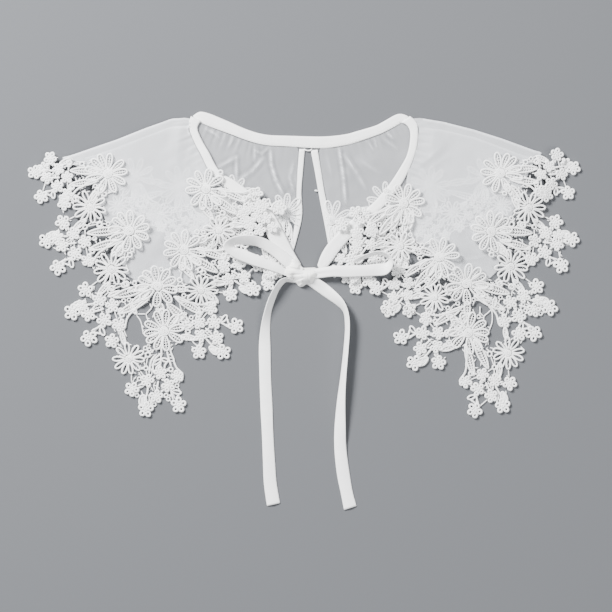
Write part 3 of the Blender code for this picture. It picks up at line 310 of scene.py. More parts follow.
# Thread loop at the slit's top and thread end on its right edge: points, radius, lift
SLIT_THREADS = (
    (((-1.8, 132.6), (-0.6, 131.4), (1.4, 131), (3.2, 131.3), (4.4, 132.4)), 0.55, 0.6),
    (((6.6, 98.4), (8, 98.2), (9.6, 98)), 0.75, 0.3),
)
# Ribbons, row by row: first edge x, y, lift, then second edge x, y, lift. The loops take
# their heights from the frame, and their lifts count for their length alone.
BOW_LOOP = {
    "left": (
        (-5.4, 37.3, 0, -12.5, 31, 0), (-14.4, 45.9, 0, -18.9, 36.9, 0),
        (-23.4, 52.4, 0.2, -26.7, 43.9, 0), (-32.4, 58.2, 1.5, -32.8, 48.4, 0),
        (-41.4, 61.1, 4.5, -40.6, 52.5, 0), (-49.6, 61.6, 6.8, -48.8, 53.8, 0),
        (-57.8, 60.7, 7.2, -55, 54, 0), (-64.8, 57.4, 7, -58, 54, 0), (-68.1, 52.9, 6.5, -59, 52.8, 0),
        (-65.6, 48, 5, -57.5, 51.4, 0), (-57.8, 42.6, 2.5, -53.7, 50.6, 0),
        (-49.1, 39, 0.8, -46.5, 47.8, 0), (-41.4, 36.3, 0.2, -39, 44.8, 0),
        (-32.4, 33.7, 0, -31.2, 41.4, 0), (-23.4, 30.8, 0, -22.4, 38, 0),
        (-12.9, 27.2, 0, -12.9, 29.3, 0),
    ),
    "right": (
        (11.5, 26.7, 0, 9.8, 34.6, 0), (21.8, 27.8, 0, 22.6, 36.5, 0), (32.4, 27.4, 0, 34, 36.8, 0),
        (45.5, 27.8, 0.2, 46.3, 37.1, 0), (57, 28.3, 1.5, 57, 38.1, 0),
        (65.2, 29.5, 4.5, 63.6, 38.6, 0), (69.8, 34.8, 7.5, 65.8, 39.6, 0),
        (70.3, 41.4, 9, 67.2, 41.8, 0), (66, 46.8, 9, 64.4, 43.9, 0), (57.8, 48.6, 9.2, 58.2, 45.5, 0),
        (47.2, 45.4, 9, 48, 42.4, 0), (37.6, 41.2, 8.5, 37.2, 38.8, 0.2),
    ),
}
TIE_TAIL = {
    "left": (
        (-12.8, 25.9, 4, -11.4, 23, 0.4), (-17.6, 26.8, 6.5, -16.4, 23.4, 0),
        (-22.6, 24.2, 8, -18.9, 21.7, 0), (-27.5, 16.8, 8, -22.1, 17.6, 0),
        (-31.8, 7.8, 6.5, -25.3, 10.3, 0), (-35.7, -5.3, 4.5, -29.1, -2.1, 0),
        (-38.1, -18.5, 2, -29.9, -16.8, 0), (-39, -31.6, 0.5, -29.5, -31.6, 0),
        (-38.5, -53.7, 0, -29.1, -55.4, 0), (-37.7, -79.1, 0, -27.9, -79.1, 0),
        (-36.5, -101.3, 0, -27.1, -102.9, 0), (-35.7, -122.6, 0, -25.8, -124.2, 0),
        (-34.9, -141.5, 0, -24.6, -140.6, 0), (-32.4, -160.3, 0, -21.7, -157.9, 0),
    ),
    "right": (
        (1.7, 20.6, 0.5, 10.4, 25.8, 3), (12.7, 12.7, 0, 18.5, 20.1, 2), (24.4, 4.5, 0, 28.3, 10.7, 6),
        (30.2, -1.2, 0, 32.8, 2.9, 8), (31.6, -9.8, 0, 34.9, -6.2, 8.5),
        (31.4, -20.9, 0, 35.2, -16.8, 8), (29.7, -39, 0, 34, -34, 7.5),
        (27.5, -57, 0, 32.4, -53.7, 7.5), (25, -75, 0, 31.6, -73.4, 6), (23, -97.2, 0, 32, -95.5, 3),
        (23, -114.4, 0, 32.6, -112.8, 0.8), (25, -134.1, 0, 34.9, -130.8, 0),
        (28.3, -150.5, 0, 37.7, -148, 0), (30.8, -163.6, 0, 41, -160.3, 0),
    ),
}
# Knot: x, y of the points on its rim
KNOT_RIM = (
    (-2.9, 35.2), (2.5, 35.1), (7.4, 35), (9.8, 32.4), (10.7, 28.3), (8.6, 25.4), (4.1, 22.1),
    (0, 21.4), (-2.9, 19.7), (-5.3, 19.3), (-7.8, 21.7), (-11.1, 25.4), (-13.9, 26.4), (-16.4, 28.3),
    (-17.2, 33.2), (-14.4, 39), (-10.3, 42.6), (-7.8, 41.8), (-5.3, 38.5),
)
KNOT_STEP = 0.65
KNOT_TOP = 6.7
KNOT_WAIST_Y = 30.8
KNOT_WAIST_HALF = 4.2      # half the width along Y of the waist that the wrap holds in
KNOT_WRAP = (-2.2, 5.2)    # from where to where the wrap lies
KNOT_PLEAT = 0.34
KNOT_FOOT = 0.4            # height of the knot's underside
KNOT_EDGE = 1.3            # height at its rim where no ribbon lies under it
KNOT_CLEARANCE = 0.3       # and above the ribbons
KNOT_BARE = 0.9            # distance from the ribbons past which none lies under it
KNOT_ROUNDING = 2.6        # length over which it rises from its rim
WAIST_RISE, WAIST_REACH = 0.8, 9.0    # how much higher the waist stands, and how far along Y
RUN_ON = 5.0               # how far the ribbons run on into the knot
STRANDS = ("bow_loop_left", "bow_loop_right", "neck_binding_front_left",
           "neck_binding_front_right", "tie_tail_left", "tie_tail_right")

# Folds in the sheer cloth: x0, y0, x1, y1, height, half width
BACK_FOLDS = (
    (-29.5, 133, -28.6, 119, 2.2, 1.1), (-28.6, 119, -25, 107, 2.4, 1.1),
    (-25, 107, -19, 94.5, 2.2, 1.2), (-42.5, 136, -42, 122.5, 2, 1), (-40, 135, -39.5, 124, 1.2, 0.8),
    (-57.3, 126, -57.3, 104, 2, 1), (-72.5, 117, -57.3, 125.5, 1.6, 1.2),
    (-35.5, 125, -44.5, 114, 2, 1.3), (-44.5, 114, -56, 106.5, 1.5, 1.4),
    (-31, 133.5, -36.5, 128, 1.6, 0.9), (-36.5, 128, -41.5, 131, 1.4, 0.9),
    (-10.5, 122, -13.5, 108, 1.3, 1.2), (-13.5, 108, -10.5, 97, 1.6, 1), (-13, 98, -16.5, 88, 1.2, 1),
    (-83, 149, -75, 144.5, 1.4, 1), (-78, 147.5, -70, 140, 1.2, 0.9), (-60, 141, -64, 134, 1, 1.1),
    (26.8, 133, 28.6, 121, 2.2, 1), (28.6, 121, 30.5, 108, 2.2, 1), (30.5, 108, 32, 88, 2.2, 1),
    (31.5, 127, 41, 113, 1.8, 1.3), (41, 113, 49, 99, 1.4, 1.5), (17, 126, 21, 108, 0.9, 1.8),
    (50.5, 139, 55, 131, 1.5, 0.9), (55.5, 142, 58, 134, 1.3, 0.9), (64, 147, 72, 140.5, 1.5, 0.9),
    (62.5, 141.5, 74.5, 132, 1.2, 1.2), (43, 124, 60, 112, 0.9, 2),
)
FRONT_FOLDS = (
    (-104, 150, -107, 122, 1.3, 3.6), (-107, 122, -101, 112, 1, 3), (-93, 137, -99, 118, 0.9, 1.8),
    (-120, 92, -138, 84, 0.7, 3.4), (-112, 72, -126, 52, 0.7, 3.4), (-128, 128, -150, 121, 0.5, 4),
    (90, 116, 110, 134, 1.4, 2.2), (94, 112, 116, 126, 1.1, 2), (104, 148, 101, 124, 1.2, 3.4),
    (122, 90, 140, 82, 0.8, 3), (116, 66, 132, 48, 0.7, 3.4), (128, 41, 146, 44, 1.2, 1),
    (128, 41, 125.5, 34, 1, 0.9),
)

# Sheer panels
CLOTH_STEP = 1.25          # distance between the points of the sheer cloth
CLOTH_WALL = 0.22
ROW_SHARE = 0.866          # rows of even triangles lie this share of a step apart
SETTLING = 14              # rounds in which the cloth is smoothed over its frame node
WAVES = (26, 7.0, 46.0, 0.32)    # number, shortest, longest and height of its soft waves
GATHER_CREASE, WAVE_CREASE = 0.4, 0.3    # shares of gathers and waves that count as creases
CROWDING = 0.4             # how fast a slope makes the weave denser
FOLD_SHARE = 0.35          # how high the folds stand, of the heights in their tables
FOLD_HOLLOW = 0.35         # how deep the hollow beside a fold is, of the fold's height
FOLD_HIGHLIGHT_AND_SHADE = 0.15        # how much denser the weave is drawn on a fold 1 high: partly the doubled cloth, partly painted highlight on its ridge, and painted shade where the hollow beside it is thinned
BACK_BODY, FRONT_BODY = 0.09, 0.4    # how much denser than the sparsest weave each panel is
FRONT_LOOSE = 0.55         # how freely the front panels crease; the back ones do by neck_share
NECK_EDGE = 8.0            # width over which that share changes at the neck opening
SHOULDER_FROM = (96.0, 124.0)  # distance from X 0, and Y, past which the rim is the shoulder fold
SHOULDER_LINE = 1.1        # width of the whiter line along that fold
SLIT_X = -5.0              # X that parts the back seam's left rows from its right ones
FRONT_SEAM_ROWS = 7        # rows of the front binding along which the front panel is gathered
PANELS = {"back": (BACK_FOLDS, 11, BACK_BODY), "front": (FRONT_FOLDS, 31, FRONT_BODY)}
CORNERS = {"left": (-91.5, 156.0), "right": (84.5, 156.5)}   # where the panels meet the neck
CORNER_REACH = 8.0         # how far off the panels' rims are drawn to that corner
# Gathers along the seams
GATHER_LENGTH = 5.2
GATHER_HEIGHT = 0.55
GATHER_REACH = 11.0

# Tapes and ribbons
TAPE_STEP = 2.0
TAPE_HEIGHT = 1.35
SLIT_TAPE_HEIGHT = 1.1
TAPE_GROOVE, GROOVE_SHARE = 0.22, 0.055  # depth and share of the groove under its stitches
SLIT_THREAD_STEP = 0.8
RIBBON_STEP = 1.6
RIBBON_WALL = 0.4
RIBBON_WIDTH = 10.0
RIBBON_CLEARANCE = 0.05    # least height of a ribbon's underside
RIBBON_CAMBER = 0.07       # how high a ribbon bulges, as a share of its width
RIBBON_ROLL, ROLL_SHARE = 0.12, 0.06     # how thick its edges are, and over which share of it
RIBBON_RIPPLE, RIPPLE_LENGTH = 0.12, 8.5
PLEAT_FADE = 14.0          # length over which the pleats at the knot die away
STITCH_LENGTH = 2.1
STITCH_GAP = 0.9
STITCH_PLACE = 0.84        # where the stitches run, as a share of the tape's width
STITCH_ENDS = (1.5, 3.0)   # how far from a tape's two ends its stitches stop
STITCH_SINK = 0.24         # how deep they lie below its top
STITCH_SIDES = 4
STITCH_RISE = np.array((-0.1, 0.1, 0.1, -0.1))
STITCH_THICK = np.array((0.1, 0.17, 0.17, 0.1))

# Colours, linear
THREAD_WHITE = (0.91, 0.91, 0.905)
THREAD_SHADE = (0.84, 0.845, 0.85)
CLOTH_WHITE = (0.84, 0.855, 0.885)
RIBBON_WHITE = (0.9, 0.9, 0.895)
RIBBON_SHADE = (0.84, 0.845, 0.85)
KNOT_WHITE = (0.9, 0.893, 0.865)
FLOOR_GREY = (0.1, 0.104, 0.112)
SURROUND_COLOUR = (0.85, 0.88, 0.92)
SURROUND_STRENGTH = 0.42
# Share of the sheer cloth that covers what is under it: least and most of a level weave,
# and what full density adds
SPARSE_COVER = (0.06, 0.12)
DENSE_COVER = 0.6
# Name, place, size and power of each lamp, in metres and watts
LAMPS = (("key", (-1.1, 1.2, 1.2), 0.6, 185.0), ("fill", (1.3, -0.6, 1.6), 1.2, 40.0))
FLOOR_Z = -0.0001


# Plane geometry
def in_frame(x, y):
    """A table's point in the frame's metres."""
    return (x + TABLE_TO_FRAME[0]) * MM, (y + TABLE_TO_FRAME[1]) * MM


def nearest_on_line(x, y, line):
    """Distance of each point to an open line, and how far along it the nearest spot lies."""
    best, along_best, start = np.full(np.shape(x), 1e9), np.zeros(np.shape(x)), 0.0
    for (x0, y0), (x1, y1) in zip(line[:-1], line[1:]):
        run_x, run_y = x1 - x0, y1 - y0
        length = math.hypot(run_x, run_y)
        share = np.clip(((x - x0) * run_x + (y - y0) * run_y) / length ** 2, 0.0, 1.0)
        away = np.hypot(x - x0 - share * run_x, y - y0 - share * run_y)
        along_best = np.where(away < best, start + share * length, along_best)
        best = np.minimum(best, away)
        start += length
    return best, along_best


def from_rim(x, y, loop):
    """Distance of each point to a closed loop."""
    return nearest_on_line(x, y, np.vstack([loop, loop[:1]]))[0]


def inside(x, y, loop):
    """True for the points that lie inside the closed loop."""
    odd = np.zeros(np.shape(x), dtype=bool)
    for (x0, y0), (x1, y1) in zip(loop, np.roll(loop, -1, axis=0)):
        if y0 != y1:
            crosses = (y0 > y) != (y1 > y)
            odd ^= crosses & (x < x0 + (y - y0) * (x1 - x0) / (y1 - y0))
    return odd


def smooth_line(points, step, closed=False, axes=2):
    """Points read off a smooth curve, about a step apart in the first axes."""
    points = np.asarray(points, dtype=float)
    if closed:
        padded = np.vstack([points[-1:], points, points[:2]])
    else:
        padded = np.vstack([2 * points[0] - points[1], points, 2 * points[-1] - points[-2]])
    result = []
    for before, start, end, after in zip(padded[:-3], padded[1:-2], padded[2:-1], padded[3:]):
        parts = max(1, round(float(np.linalg.norm((end - start)[:axes])) / step))
        t = (np.arange(parts) / parts)[:, None]
        result.append(0.5 * (
            2 * start + (end - before) * t
            + (2 * before - 5 * start + 4 * end - after) * t ** 2
            + (3 * start - before - 3 * end + after) * t ** 3
        ))
    if not closed:
        result.append(points[-1:])
    return np.vstack(result)


def run_along(points):
    """How far along its line each point lies."""
    return np.concatenate([[0.0], np.cumsum(np.linalg.norm(np.diff(points, axis=0), axis=1))])


def evened(values):
    """Values averaged over each one's nearest five."""
    return np.convolve(np.pad(values, 2, mode="edge"), np.ones(5) / 5, mode="valid")


def direction(degrees):
    """Cosine and sine of an angle."""
    return math.cos(math.radians(degrees)), math.sin(math.radians(degrees))


# Heights read off the frame
class Skin:
    """One skin of some frame nodes, whose height is known all over the plane."""

    def __init__(self, names, facing):
        self.corners, self.faces = [], []
        for name in names:
            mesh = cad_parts[name].data
            first = len(self.corners)
            self.corners += [vertex.co.copy() for vertex in mesh.vertices]
            self.faces += [
                [first + i for i in face.vertices]
                for face in mesh.polygons if face.normal.z * facing > FACING
            ]
        self.flat = [Vector((corner.x, corner.y, 0.0)) for corner in self.corners]
        self.tree = BVHTree.FromPolygons(self.flat, self.faces)

    def distances(self, x, y):
        """How far outside the skin each table point lies, in millimetres."""
        spots = [Vector((*in_frame(*spot), 0.0)) for spot in zip(np.ravel(x), np.ravel(y))]
        return np.reshape([self.tree.find_nearest(spot)[3] / MM for spot in spots], np.shape(x))

    def heights(self, x, y):
        """Heights in millimetres at table points; past the skin's edge, the nearest height."""
        result = []
        for spot_x, spot_y in zip(np.ravel(x), np.ravel(y)):
            spot, _, index, _ = self.tree.find_nearest(Vector((*in_frame(spot_x, spot_y), 0.0)))
            face = self.faces[index][:3]
            spot = barycentric_transform(
                spot, *(self.flat[i] for i in face), *(self.corners[i] for i in face)
            )
            result.append(spot.z / MM)
        return np.reshape(result, np.shape(x))


class FloorSkin:
    """The surface that the collar lies on, asked for its height like a skin."""

    def heights(self, x, y):
        return np.zeros(np.shape(x))


def rim_of(name):
    """The longest border of a node's upper skin, as table points in order."""
    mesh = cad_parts[name].data
    keys = [tuple(round(c, 6) for c in vertex.co) for vertex in mesh.vertices]
    following, used = {}, set()
    for face in mesh.polygons:
        if face.normal.z > FACING:
            ring = [keys[i] for i in face.vertices]
            used |= set(zip(ring, ring[1:] + ring[:1]))
    for start, end in used:
        if (end, start) not in used:
            following[start] = end
    loops = []
    while following:
        start, end = following.popitem()
        loop = [start]
        while end != start:
            loop.append(end)
            end = following.pop(end)
        loops.append(loop)
    rim = np.array(max(loops, key=len))[:, :2] / MM
    return rim - np.array(TABLE_TO_FRAME)


# Objects and meshes
def add_object(name, data):
    """A new object in the scene."""
    thing = bpy.data.objects.new(name, data)
    bpy.context.scene.collection.objects.link(thing)
    return thing


def add_piece(name, points, faces, material, uvs=None):
    """A smooth mesh piece from table points and faces, with its texture places."""
    points = np.asarray(points, dtype=float) + np.array((*TABLE_TO_FRAME, 0.0))
    mesh = bpy.data.meshes.new(name)
    mesh.from_pydata((points * MM).tolist(), [], [list(face) for face in faces])
    if uvs is not None:
        layer = mesh.uv_layers.new(name=CLOTH_LAYER)
        layer.data.foreach_set("uv", np.ravel(uvs).astype(np.float32))
    mesh.polygons.foreach_set("use_smooth", [True] * len(mesh.polygons))
    mesh.materials.append(material)
    mesh.update()
    return add_object(name, mesh)


def dress(piece, slot, *nodes):
    """Let a piece ride with the collar, in place of the frame nodes given."""
    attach(piece, "root")
    if nodes:
        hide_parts(*nodes)


def tube_rings(line, z, aside, thick, sides):
    """Rings of points round a line in the plane, at their heights and thicknesses."""
    turn = 2 * math.pi * np.arange(sides) / sides
    rings = np.zeros((len(line), sides, 3))
    rings[:, :, :2] = (line[:, None, :]
                       + aside[:, None, :] * (thick[:, None] * np.cos(turn))[:, :, None])
    rings[:, :, 2] = z[:, None] + thick[:, None] * np.sin(turn)
    return rings


def tube_quads(count, sides, closed=False):
    """Faces between a number of rings of points."""
    spans = count if closed else count - 1
    i, k = np.repeat(np.arange(spans), sides), np.tile(np.arange(sides), spans)
    j, m = (i + 1) % count, (k + 1) % sides
    return np.stack([i * sides + k, i * sides + m, j * sides + m, j * sides + k], axis=1)


def quad_places(along, across):
    """Texture places of those faces, in millimetres along and across the tube."""
    spans, sides = len(along) - 1, len(across) - 1
    i, k = np.repeat(np.arange(spans), sides), np.tile(np.arange(sides), spans)
    rings = np.stack([i, i, i + 1, i + 1], axis=1)
    corners = np.stack([k, k + 1, k + 1, k], axis=1)
    return np.stack([along[rings], across[corners]], axis=2).reshape(-1, 2)


def rim_pairs(faces):
    """Border edges of a triangle list, in the faces' own direction."""
    directed = {(int(a), int(b)) for face in faces for a, b in zip(face, np.roll(face, -1))}
    return [(a, b) for a, b in directed if (b, a) not in directed]


def closed_sheet(x, y, top, low, faces):
    """Points and faces of a body between two heights over the same triangles."""
    count = len(x)
    points = np.vstack([np.column_stack([x, y, top]), np.column_stack([x, y, low])])
    walls = [(a, a + count, b + count, b) for a, b in rim_pairs(faces)]
    return points, faces.tolist() + (faces[:, ::-1] + count).tolist() + walls


def cloth_grid(loop, step):
    """An even triangle mesh inside a closed loop: x, y and faces."""
    low, high = loop.min(axis=0), loop.max(axis=0)
    rows = np.arange(low[1], high[1], step * ROW_SHARE)
    grid = np.array([(x, y) for row, y in enumerate(rows)
                     for x in np.arange(low[0] + (row % 2) * step / 2, high[0], step)])
    grid = grid[inside(grid[:, 0], grid[:, 1], loop)]
    grid = grid[from_rim(grid[:, 0], grid[:, 1], loop) > step * 0.5]
    corners = [Vector(place) for place in (*loop, *grid)]
    edges = [(i, (i + 1) % len(loop)) for i in range(len(loop))]
    flat, _, faces, *_ = delaunay_2d_cdt(corners, edges, [], 0, 1e-6)
    flat, faces = np.array([tuple(place) for place in flat]), np.array(faces)
    middles = flat[faces].mean(axis=1)
    return flat[:, 0], flat[:, 1], faces[inside(middles[:, 0], middles[:, 1], loop)]


def relaxed(z, faces, rounds):
    """Heights smoothed over a triangle mesh."""
    pairs = np.vstack([faces[:, [0, 1]], faces[:, [1, 2]], faces[:, [2, 0]]])
    pairs = np.vstack([pairs, pairs[:, ::-1]])
    count = np.bincount(pairs[:, 0], minlength=len(z))
    for _ in range(rounds):
        total = np.bincount(pairs[:, 0], weights=z[pairs[:, 1]], minlength=len(z))
        z = 0.4 * z + 0.6 * np.where(count > 0, total / np.maximum(count, 1), z)
    return z


class Cords:
    """Cords of thread that become one mesh."""

    def __init__(self, skin, limit=None):
        self.skin, self.limit, self.lines = skin, limit, []

    def add(self, points, radius, lift=0.0, closed=False):
        """A cord along table points; lift is how far it is raised above the skin."""
        points = np.asarray(points, dtype=float)[:, :2]
        lift = np.broadcast_to(lift, len(points))
        kept = np.ones(len(points), dtype=bool) if self.limit is None else self.limit(points)
        if kept.all():
            self.lines.append((points, radius, lift, closed))
            return
        if closed:
            first = int(np.argmin(kept))
            points, lift, kept = (np.roll(part, -first, axis=0) for part in (points, lift, kept))
        changes = np.flatnonzero(np.diff(kept.astype(int))) + 1
        for part in np.split(np.arange(len(points)), changes):
            if kept[part[0]] and len(part) > 2:
                self.lines.append((points[part], radius, lift[part], False))

    def build(self, name, material):
        """One mesh of all the cords."""
        vertices, faces, uvs, first = [], [], [], 0
        for points, radius, lift, closed in self.lines:
            if closed:
                ahead, behind = np.roll(points, -1, axis=0), np.roll(points, 1, axis=0)
            else:
                ahead = np.vstack([points[1:], points[-1:]])
                behind = np.vstack([points[:1], points[:-1]])
            run = ahead - behind
            run /= np.maximum(np.hypot(run[:, 0], run[:, 1]), 1e-9)[:, None]
            aside = np.stack([-run[:, 1], run[:, 0]], axis=1)
            thick = np.full(len(points), radius)
            if not closed:
                thick[[0, -1]] *= END_TAPER
            z = self.skin.heights(points[:, 0], points[:, 1]) + lift + radius
            vertices.append(tube_rings(points, z, aside, thick, CORD_SIDES).reshape(-1, 3))
            faces.append(tube_quads(len(points), CORD_SIDES, closed) + first)
            along = np.concatenate([[0.0], np.cumsum(np.hypot(*(ahead - points).T))])
            across = np.arange(CORD_SIDES + 1) * (radius * 2 * math.pi / CORD_SIDES)
            uvs.append(quad_places(along if closed else along[:-1], across))
            if not closed:
                for ring, order in ((0, 1), (len(points) - 1, -1)):
                    cap = first + ring * CORD_SIDES + np.arange(CORD_SIDES)[::-order]
                    faces.append(cap[[[0, 1, 2, 3], [0, 3, 4, 5]]])
                    uvs.append(np.zeros((8, 2)))
            first += len(points) * CORD_SIDES
        return add_piece(name, np.vstack(vertices), np.vstack(faces), material, np.vstack(uvs))


# Lace
def ellipse(v, u, half_length, half_width, degrees, count, egg=0.0):
    """A closed loop of points, wider at its far end by the share egg."""
    turn = 2 * math.pi * np.arange(count) / count
    along = half_length * np.cos(turn)
    across = half_width * np.sin(turn) * (1 + egg * np.cos(turn))
    c, s = direction(degrees)
    return np.stack([v + along * c - across * s, u + along * s + across * c], axis=1)


def in_gap(point, gap):
    """True for a point in a wide gap, given as a row of GAPS."""
    x, y, half_length, half_width, degrees = gap
    c, s = direction(degrees)
    dx, dy = point[0] - x, point[1] - y
    return math.hypot((dx * c + dy * s) / half_length, (dy * c - dx * s) / half_width) < 1.0


def add_leaf(cords, foot, tip, half_width):
    """A ladder leaf between two table points."""
    run = tip - foot
    length = np.hypot(*run)
    run, aside = run / length, np.array((-run[1], run[0])) / length
    shares = np.linspace(0.0, 1.0, max(6, round(length / 1.5)))
    bow = np.sin(shares * math.pi) ** LEAF_BLUNT * half_width
    for way in (-1, 1):
        edge = foot + shares[:, None] * length * run + way * bow[:, None] * aside
        cords.add(edge, CORD * 0.92, 0.1)
    vein = foot + np.linspace(0.08, 0.92, 7)[:, None] * length * run
    cords.add(vein, RUNG * 0.9)
    lean = run * (0.7 if half_width < 2.5 else 2.0)
    for at in np.arange(2.6, length - 2.0, LEAF_RUNG_STEP):
        reach = math.sin(at / length * math.pi) ** LEAF_BLUNT * half_width
        middle = foot + run * (at + 0.5)
        cords.add([middle - aside * reach - lean, middle, middle + aside * reach - lean], RUNG)


class Motif:
    """One repeat of the lace motif at its place on the collar."""

    def __init__(self, row, hand, as_drawn, cords, rng):
        x, y, tip_x, tip_y, self.flowers, self.left_out = row
        length = math.hypot(tip_x - x, tip_y - y)
        self.origin = np.array((x, y))
        self.v_axis = np.array((tip_x - x, tip_y - y)) / length
        self.u_axis = np.array((-self.v_axis[1], self.v_axis[0])) * hand
        self.scale = length / MOTIF_LENGTH
        self.cords, self.rng, self.as_drawn = cords, rng, as_drawn
        anchors, moves = [(0.0, 0.0), SMALL_FLOWER], [(0.0, 0.0), (0.0, 0.0)]
        self.rosettes = {}
        for name, v, u, radius in ROSETTES:
            usual = (v, u) if as_drawn else USUAL_PLACES[name]
            anchors.append((v, u))
            moves.append((usual[0] - v, usual[1] - u))
            if name not in self.left_out:
                self.rosettes[name] = (v, u, radius)
        self.anchors, self.moves = np.array(anchors), np.array(moves)

    def place(self, points):
        """Table points of motif points, which follow the rosettes near them."""
        points = np.atleast_2d(np.asarray(points, dtype=float))
        away = points[:, None, :] - self.anchors[None, :, :]
        weight = 1.0 / ((away ** 2).sum(axis=2) + 4.0) ** 1.5
        moved = points + (weight[:, :, None] * self.moves).sum(axis=1) / weight.sum(axis=1)[:, None]
        moved = moved * self.scale
        return self.origin + moved[:, :1] * self.v_axis + moved[:, 1:] * self.u_axis

    def add(self, points, radius, lift=0.0, closed=False):
        """A cord along motif points."""
        self.cords.add(self.place(points), radius, lift, closed)

    def form(self, name):
        """Table point of the middle of a flower or rosette, or None where it is left out."""
        places = {"flower": (0.0, 0.0), "small": SMALL_FLOWER}
        places.update({key: (v, u) for key, (v, u, _) in self.rosettes.items()})
        return self.place([places[name]])[0] if name in places else None

    def reach(self, name):
        """How far a flower or rosette reaches from its middle."""
        if name == "flower":
            return FLOWER_RADIUS
        return (SMALL_RADIUS if name == "small" else self.rosettes[name][2]) * self.scale

    def petal_tips(self, middle, radius, petals, number):
        """Spots at the petals' tips, to join to their neighbours."""
        spots = []
        for degrees in petals:
            c, s = direction(degrees)
            tip = (middle[0] + (radius - 2.0) * c, middle[1] + (radius - 2.0) * s)
            spots.append((number, f"petals {middle}", self.place([tip])[0], 2.0))
        return spots

    def petal_flower(self, v, u, radius, petals, width, relief, rungs):
        """A flower of looped petals round a knotted middle."""
        inner = radius * 0.25
        for degrees in petals:
            reach = radius - CORD + self.rng.uniform(-0.5, 0.3)
            middle, half = (reach + inner) / 2, (reach - inner) / 2
            c, s = direction(degrees)
            count = max(14, round(half * 3.2))
            loop = ellipse(v + middle * c, u + middle * s, half, width, degrees, count, egg=0.28)
            raised = relief * np.clip(np.cos(2 * math.pi * np.arange(count) / count) * 0.6 + 0.5, 0, 1)
            self.add(loop, PETAL_CORD, raised, closed=True)
            if not rungs:
                continue
            vein = [(v + r * c, u + r * s) for r in np.linspace(inner + 1.5, reach - 1.5, 6)]
            self.add(vein, RUNG * 0.8, relief * 0.55)
            for share in rungs:
                r = inner + (reach - inner) * share
                across = width * 0.92 * math.sqrt(max(0.05, 1 - (2 * share - 1.1) ** 2))
                rung = [(v + r * c - k * across * s, u + r * s + k * across * c) for k in (-1, 0, 1)]
                self.add(rung, RUNG * 0.7, relief * 0.5)
        self.coil(v, u, inner - 0.5, relief)
        for degrees in petals:
            c, s = direction(degrees + 180.0 / len(petals))
            spoke = [(v + r * c, u + r * s) for r in (radius * 0.22, radius * 0.3, radius * 0.38)]
            self.add(spoke, RUNG, relief * 0.2)

    def coil(self, v, u, radius, relief):
        """A solid round middle of coiled cord."""
        turns = radius / (CORD * 1.5)
        turn = np.linspace(0.0, 1.0, max(8, round(turns * 9))) ** 0.6
        angle, r = turn * turns * 2 * math.pi, turn * radius
        spiral = np.stack([v + r * np.cos(angle), u + r * np.sin(angle)], axis=1)
        self.add(spiral, CORD, relief * 0.5 + 0.35 * (1 - turn ** 2))

    def rosette(self, v, u, radius):
        """A small flower of thick ringed lobes round a solid middle."""
        start = self.rng.uniform(0, 360.0 / ROSETTE_LOBES)
        lobe_reach = radius * 0.385
        ring = lobe_reach - LOBE_CORD
        for lobe in range(ROSETTE_LOBES):
            degrees = start + 360.0 * lobe / ROSETTE_LOBES + self.rng.uniform(-5, 5)
            c, s = direction(degrees)
            r = radius - lobe_reach
            loop = ellipse(v + r * c, u + r * s, ring * 1.08, ring, degrees, 11)
            self.add(loop, LOBE_CORD, 0.12, closed=True)
        middle = ellipse(v, u, radius * 0.16, radius * 0.16, 0.0, 9)
        self.add(middle, LOBE_CORD * 1.1, 0.05, closed=True)

    def paddle(self, v, u, half_length, half_width, degrees):
        """A solid fan: a loop filled with cords along it."""
        self.add(ellipse(v, u, half_length, half_width, degrees, 18, egg=0.2), CORD, 0.1, True)
        c, s = direction(degrees)
        for across in (-1.2, 0.0, 1.2):
            reach = half_length * (0.95 - 0.12 * across ** 2)
            line = [(v + a * c - across * s, u + a * s + across * c) for a in (-reach, 0.0, reach)]
            self.add(smooth_line(line, 1.3), CORD * 0.85)

    def build(self):
        """All the cords of the motif."""
        for v0, u0, v1, u1, half_width in () if self.as_drawn else LEAVES:
            add_leaf(self.cords, *self.place([(v0, u0), (v1, u1)]), half_width * self.scale)
        if "tip" in self.rosettes:
            self.paddle(*PADDLE)
        if self.flowers != "none":
            self.petal_flower(0.0, 0.0, FLOWER_RADIUS / self.scale, FLOWER_PETALS,
                              *FLOWER_PETAL, FLOWER_RUNGS)
        if self.flowers == "both":
            self.petal_flower(*SMALL_FLOWER, SMALL_RADIUS, SMALL_PETALS, *SMALL_PETAL, ())
        for v, u, radius in self.rosettes.values():
            self.rosette(v, u, radius)
        for v, u, radius in RINGS:
            self.add(ellipse(v, u, radius, radius, 0.0, 12), CORD * 0.85, closed=True)
        eyelets, stalks = EYELETS, STALKS
        if self.as_drawn:
            eyelets, stalks = eyelets + BARE_EYELETS, stalks + BARE_STALKS
        for v, u, half_length, half_width, degrees, needs in eyelets:
            if not set(needs) & set(self.left_out):
                loop = ellipse(v, u, half_length, half_width, degrees, 16)
                self.add(loop, CORD * 0.9, closed=True)
        for radius, needs, points in stalks:
            if not set(needs) & set(self.left_out):
                self.add(smooth_line(points, 1.3 if len(points) > 2 else 1.6), radius)


